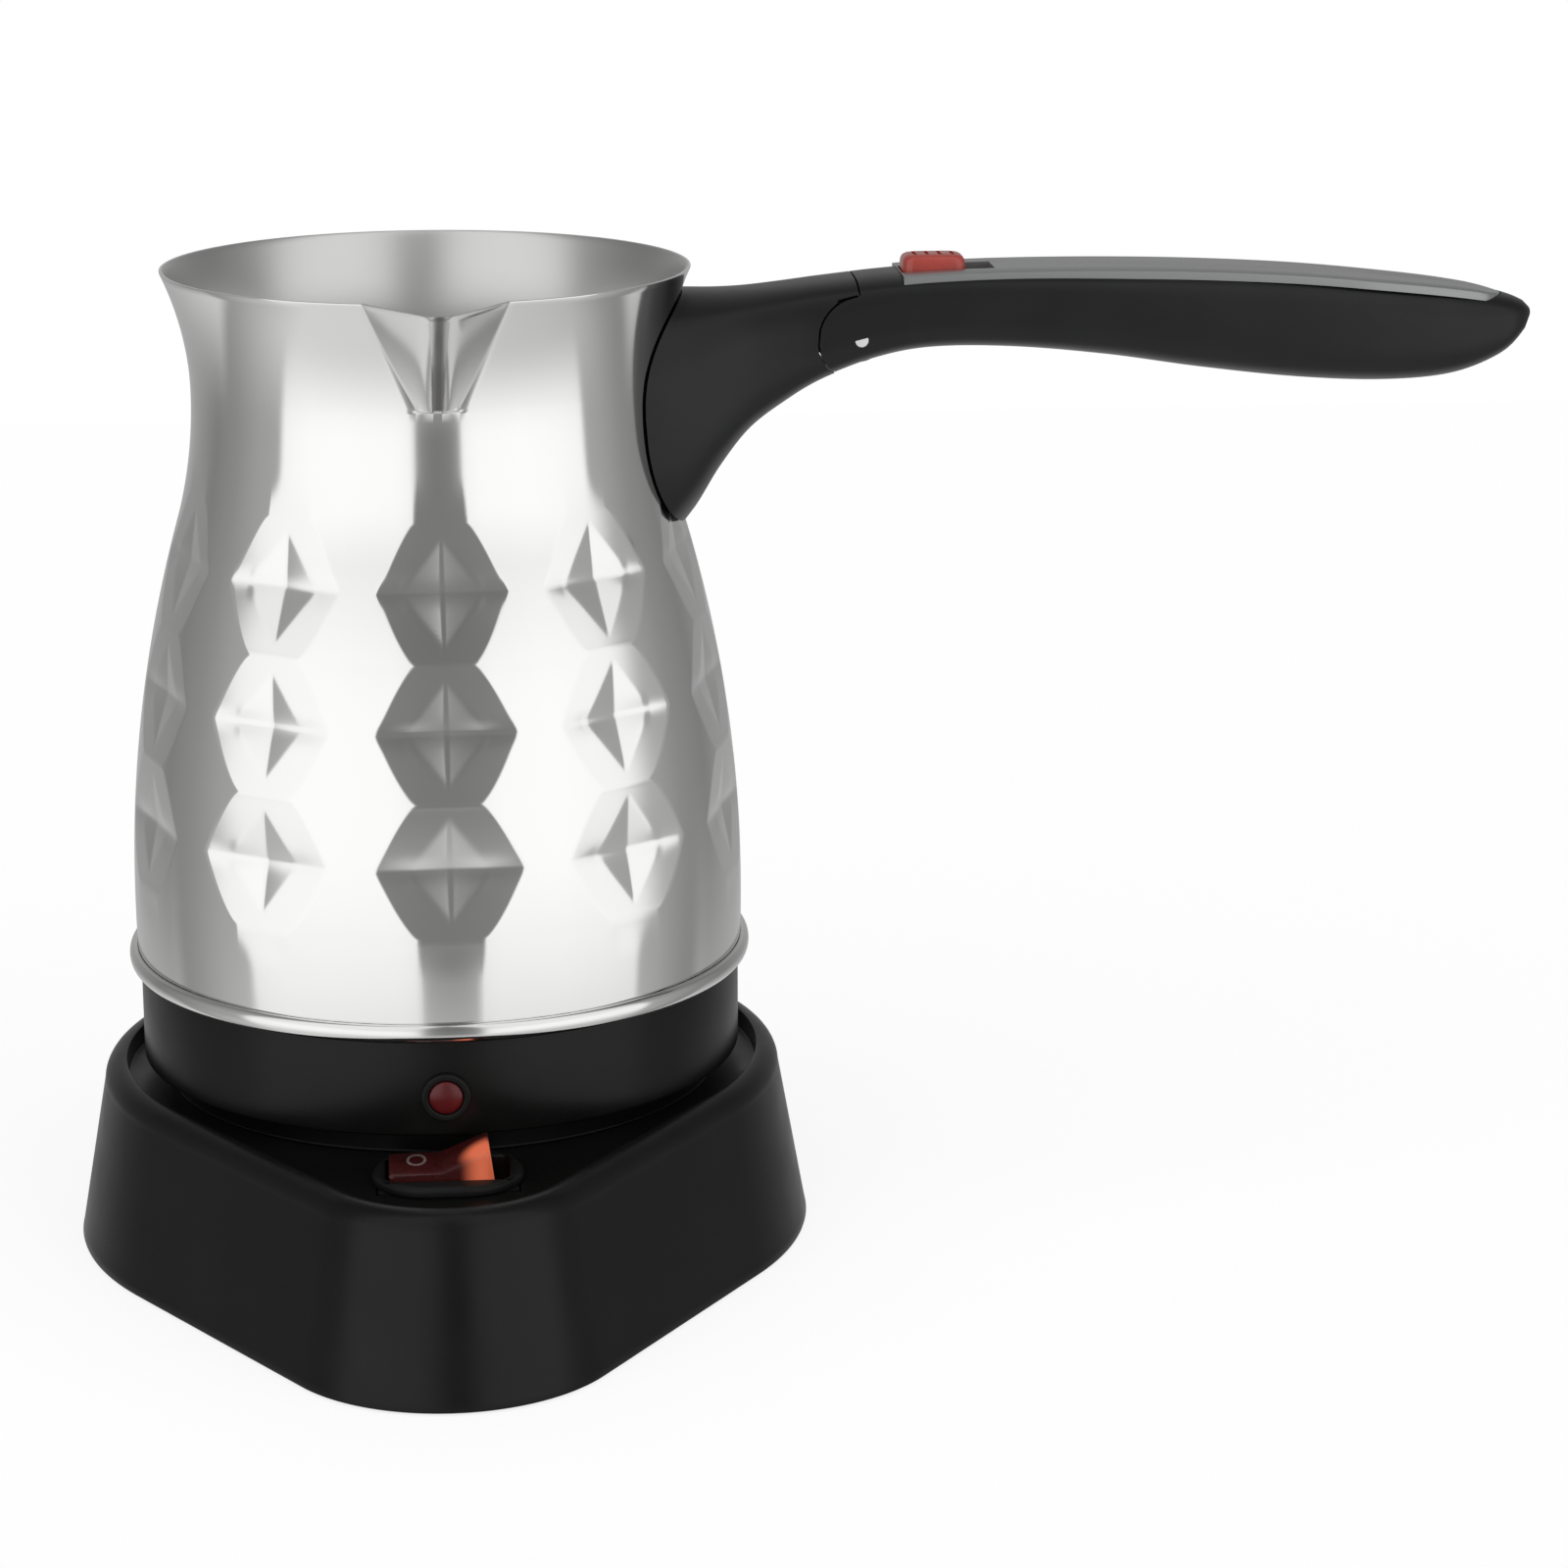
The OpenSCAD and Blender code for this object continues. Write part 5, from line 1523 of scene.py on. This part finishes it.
@dataclass
class Studio:
    """White studio: two wide soft lights at the sides of the camera and a pale floor."""

    levels: tuple[tuple[float, float], ...] = (
        (-180, 0.42), (-150, 0.30), (-123, 0.20), (-105, 0.25), (-90, 0.33), (-76.5, 0.36),
        (-74, 0.93), (-60, 0.99), (-42, 1.0), (-17, 0.98), (-9, 0.93), (-6.5, 0.27),
        (-2, 0.20), (3.3, 0.18), (8.5, 0.20), (13, 0.27), (15.5, 0.93), (23, 0.98),
        (45, 1.0), (64, 0.97), (77.5, 0.93), (80, 0.36), (90, 0.33), (105, 0.25),
        (123, 0.20), (150, 0.30), (180, 0.42))
    bright: float = 1.08
    low_levels: tuple[tuple[float, float], ...] = (
        (-180, 0.68), (-118, 0.68), (-112, 0.32), (-106, 0.36), (-86, 0.54), (-68, 0.70),
        (-50, 0.69), (0, 0.66), (30, 0.60), (63, 0.55), (79, 0.50), (88, 0.42), (97, 0.32),
        (105, 0.26), (110, 0.26), (116, 0.58), (180, 0.62))
    low_from: float = -0.12
    low_to: float = -0.66
    high_from: float = 0.1
    high_to: float = 0.4
    high_light: float = 0.86
    floor_x: float = 0.6
    floor_y: tuple[float, float] = (-0.22, 0.8)
    floor_grey: float = 0.32
    floor_white: float = 0.83
    camera_at: tuple[float, float, float] = (-0.0032, -0.6934, 0.2652)
    camera_along: tuple[float, float, float] = (0.0875, 0.9613, -0.2610)
    camera_up: tuple[float, float, float] = (0.0237, 0.2599, 0.9653)
    lens: float = 95.4

    def glow(self, graph: Graph, way: Socket) -> Socket:
        """Gives the studio's brightness in a direction round the pot.

        Args:
            graph: Graph of the world.
            way: Direction, seen from the pot.

        Returns:
            The brightness.
        """
        axes = graph.axes(way)
        share = graph.math("ADD", graph.math("DIVIDE", graph.turn(axes), 2 * math.pi), 0.5)
        around = graph.math("MULTIPLY", self.ramp(graph, share, self.levels), self.bright)
        above = graph.spread(axes[2], self.high_from, self.high_to, 1.0, self.high_light,
                             soft=True)
        below = graph.spread(axes[2], self.low_to, self.low_from, 1.0, 0.0, soft=True)
        high, low = graph.math("MULTIPLY", around, above), self.ramp(graph, share, self.low_levels)
        return graph.math("MULTIPLY_ADD", graph.math("SUBTRACT", low, high), below, high)

    def ramp(self, graph: Graph, share: object, levels: Sequence[tuple[float, float]]) -> Socket:
        """Gives a level by the direction round the pot.

        Args:
            graph: Graph of the world.
            share: Direction as a share of a turn, 0.5 at the front.
            levels: Angles from the front in degrees, with the level at each.

        Returns:
            The level.
        """
        ramp = graph.add("ShaderNodeValToRGB", {0: share})
        stops = ramp.color_ramp.elements
        while len(stops) < len(levels):
            stops.new(0.5)
        for stop, (angle, _) in zip(stops, levels):
            stop.position = angle / 360 + 0.5
        for stop, (_, level) in zip(stops, levels):
            stop.color = (level, level, level, 1.0)
        return ramp.outputs[0]

    def build_world(self) -> None:
        """Lights the scene from all round, with a white background for the camera."""
        world = bpy.data.worlds.new("studio")
        bpy.context.scene.world = world
        world.use_nodes = True
        graph = Graph(world.node_tree)
        way = graph.add("ShaderNodeTexCoord").outputs["Generated"]
        seen = graph.add("ShaderNodeLightPath").outputs["Is Camera Ray"]
        glow = self.glow(graph, way)
        level = graph.math("ADD", graph.math("MULTIPLY", glow, graph.math("SUBTRACT", 1.0, seen)),
                           seen)
        light = graph.add("ShaderNodeBackground", {"Color": (1, 1, 1, 1), "Strength": level})
        graph.add("ShaderNodeOutputWorld", {"Surface": light.outputs[0]})

    def build_floor(self) -> None:
        """Lays the pale floor, which ends in front of the base out of the camera's view."""
        mesh = bpy.data.meshes.new("floor")
        wide, (near, far) = self.floor_x, self.floor_y
        corners = [(-wide, near, 0), (wide, near, 0), (wide, far, 0), (-wide, far, 0)]
        mesh.from_pydata(corners, [], [(0, 1, 2, 3)])
        floor = add_object("floor", mesh)
        material = bpy.data.materials.new("pale_floor")
        material.use_nodes = True
        graph = Graph(material.node_tree)
        path = graph.add("ShaderNodeLightPath").outputs
        matt = graph.add("ShaderNodeBsdfDiffuse", {"Color": [self.floor_grey] * 3 + [1.0]})
        level = graph.math("MULTIPLY", path["Is Camera Ray"], self.floor_white)
        white = graph.add("ShaderNodeEmission", {"Strength": level})
        both = graph.add("ShaderNodeAddShader", {0: matt.outputs[0], 1: white.outputs[0]})
        graph.add("ShaderNodeOutputMaterial", {"Surface": both.outputs[0]})
        mesh.materials.append(material)
        floor.visible_glossy = floor.visible_transmission = False

    def build_camera(self) -> None:
        """Sets the camera at the photograph's view."""
        data = bpy.data.cameras.new("camera")
        data.lens, data.sensor_width, data.clip_start = self.lens, 36.0, 0.01
        camera = add_object("camera", data)
        along, up = Vector(self.camera_along).normalized(), Vector(self.camera_up).normalized()
        right = along.cross(up).normalized()
        up = right.cross(along)
        turn = Matrix((right, up, -along)).transposed().to_4x4()
        camera.matrix_world = Matrix.Translation(self.camera_at) @ turn
        bpy.context.scene.camera = camera

    def build(self) -> None:
        """Builds the world, the floor and the camera."""
        bpy.context.scene.view_settings.view_transform = "Standard"
        self.build_world()
        self.build_floor()
        self.build_camera()


def main() -> None:
    """Builds every piece in order."""
    logging.basicConfig(level=logging.INFO, format="%(message)s")
    wall, hinge = Wall(), Hinge()
    for part in (PotShell(wall), Collar(), PilotLamp(), BaseShell(), RockerSwitch(),
                 HandleNeck(wall, hinge), Grip(hinge), Latch(hinge), HiddenParts(), Studio()):
        part.build()
        log.info("%s is done", type(part).__name__)


if __name__ == "__main__":
    main()
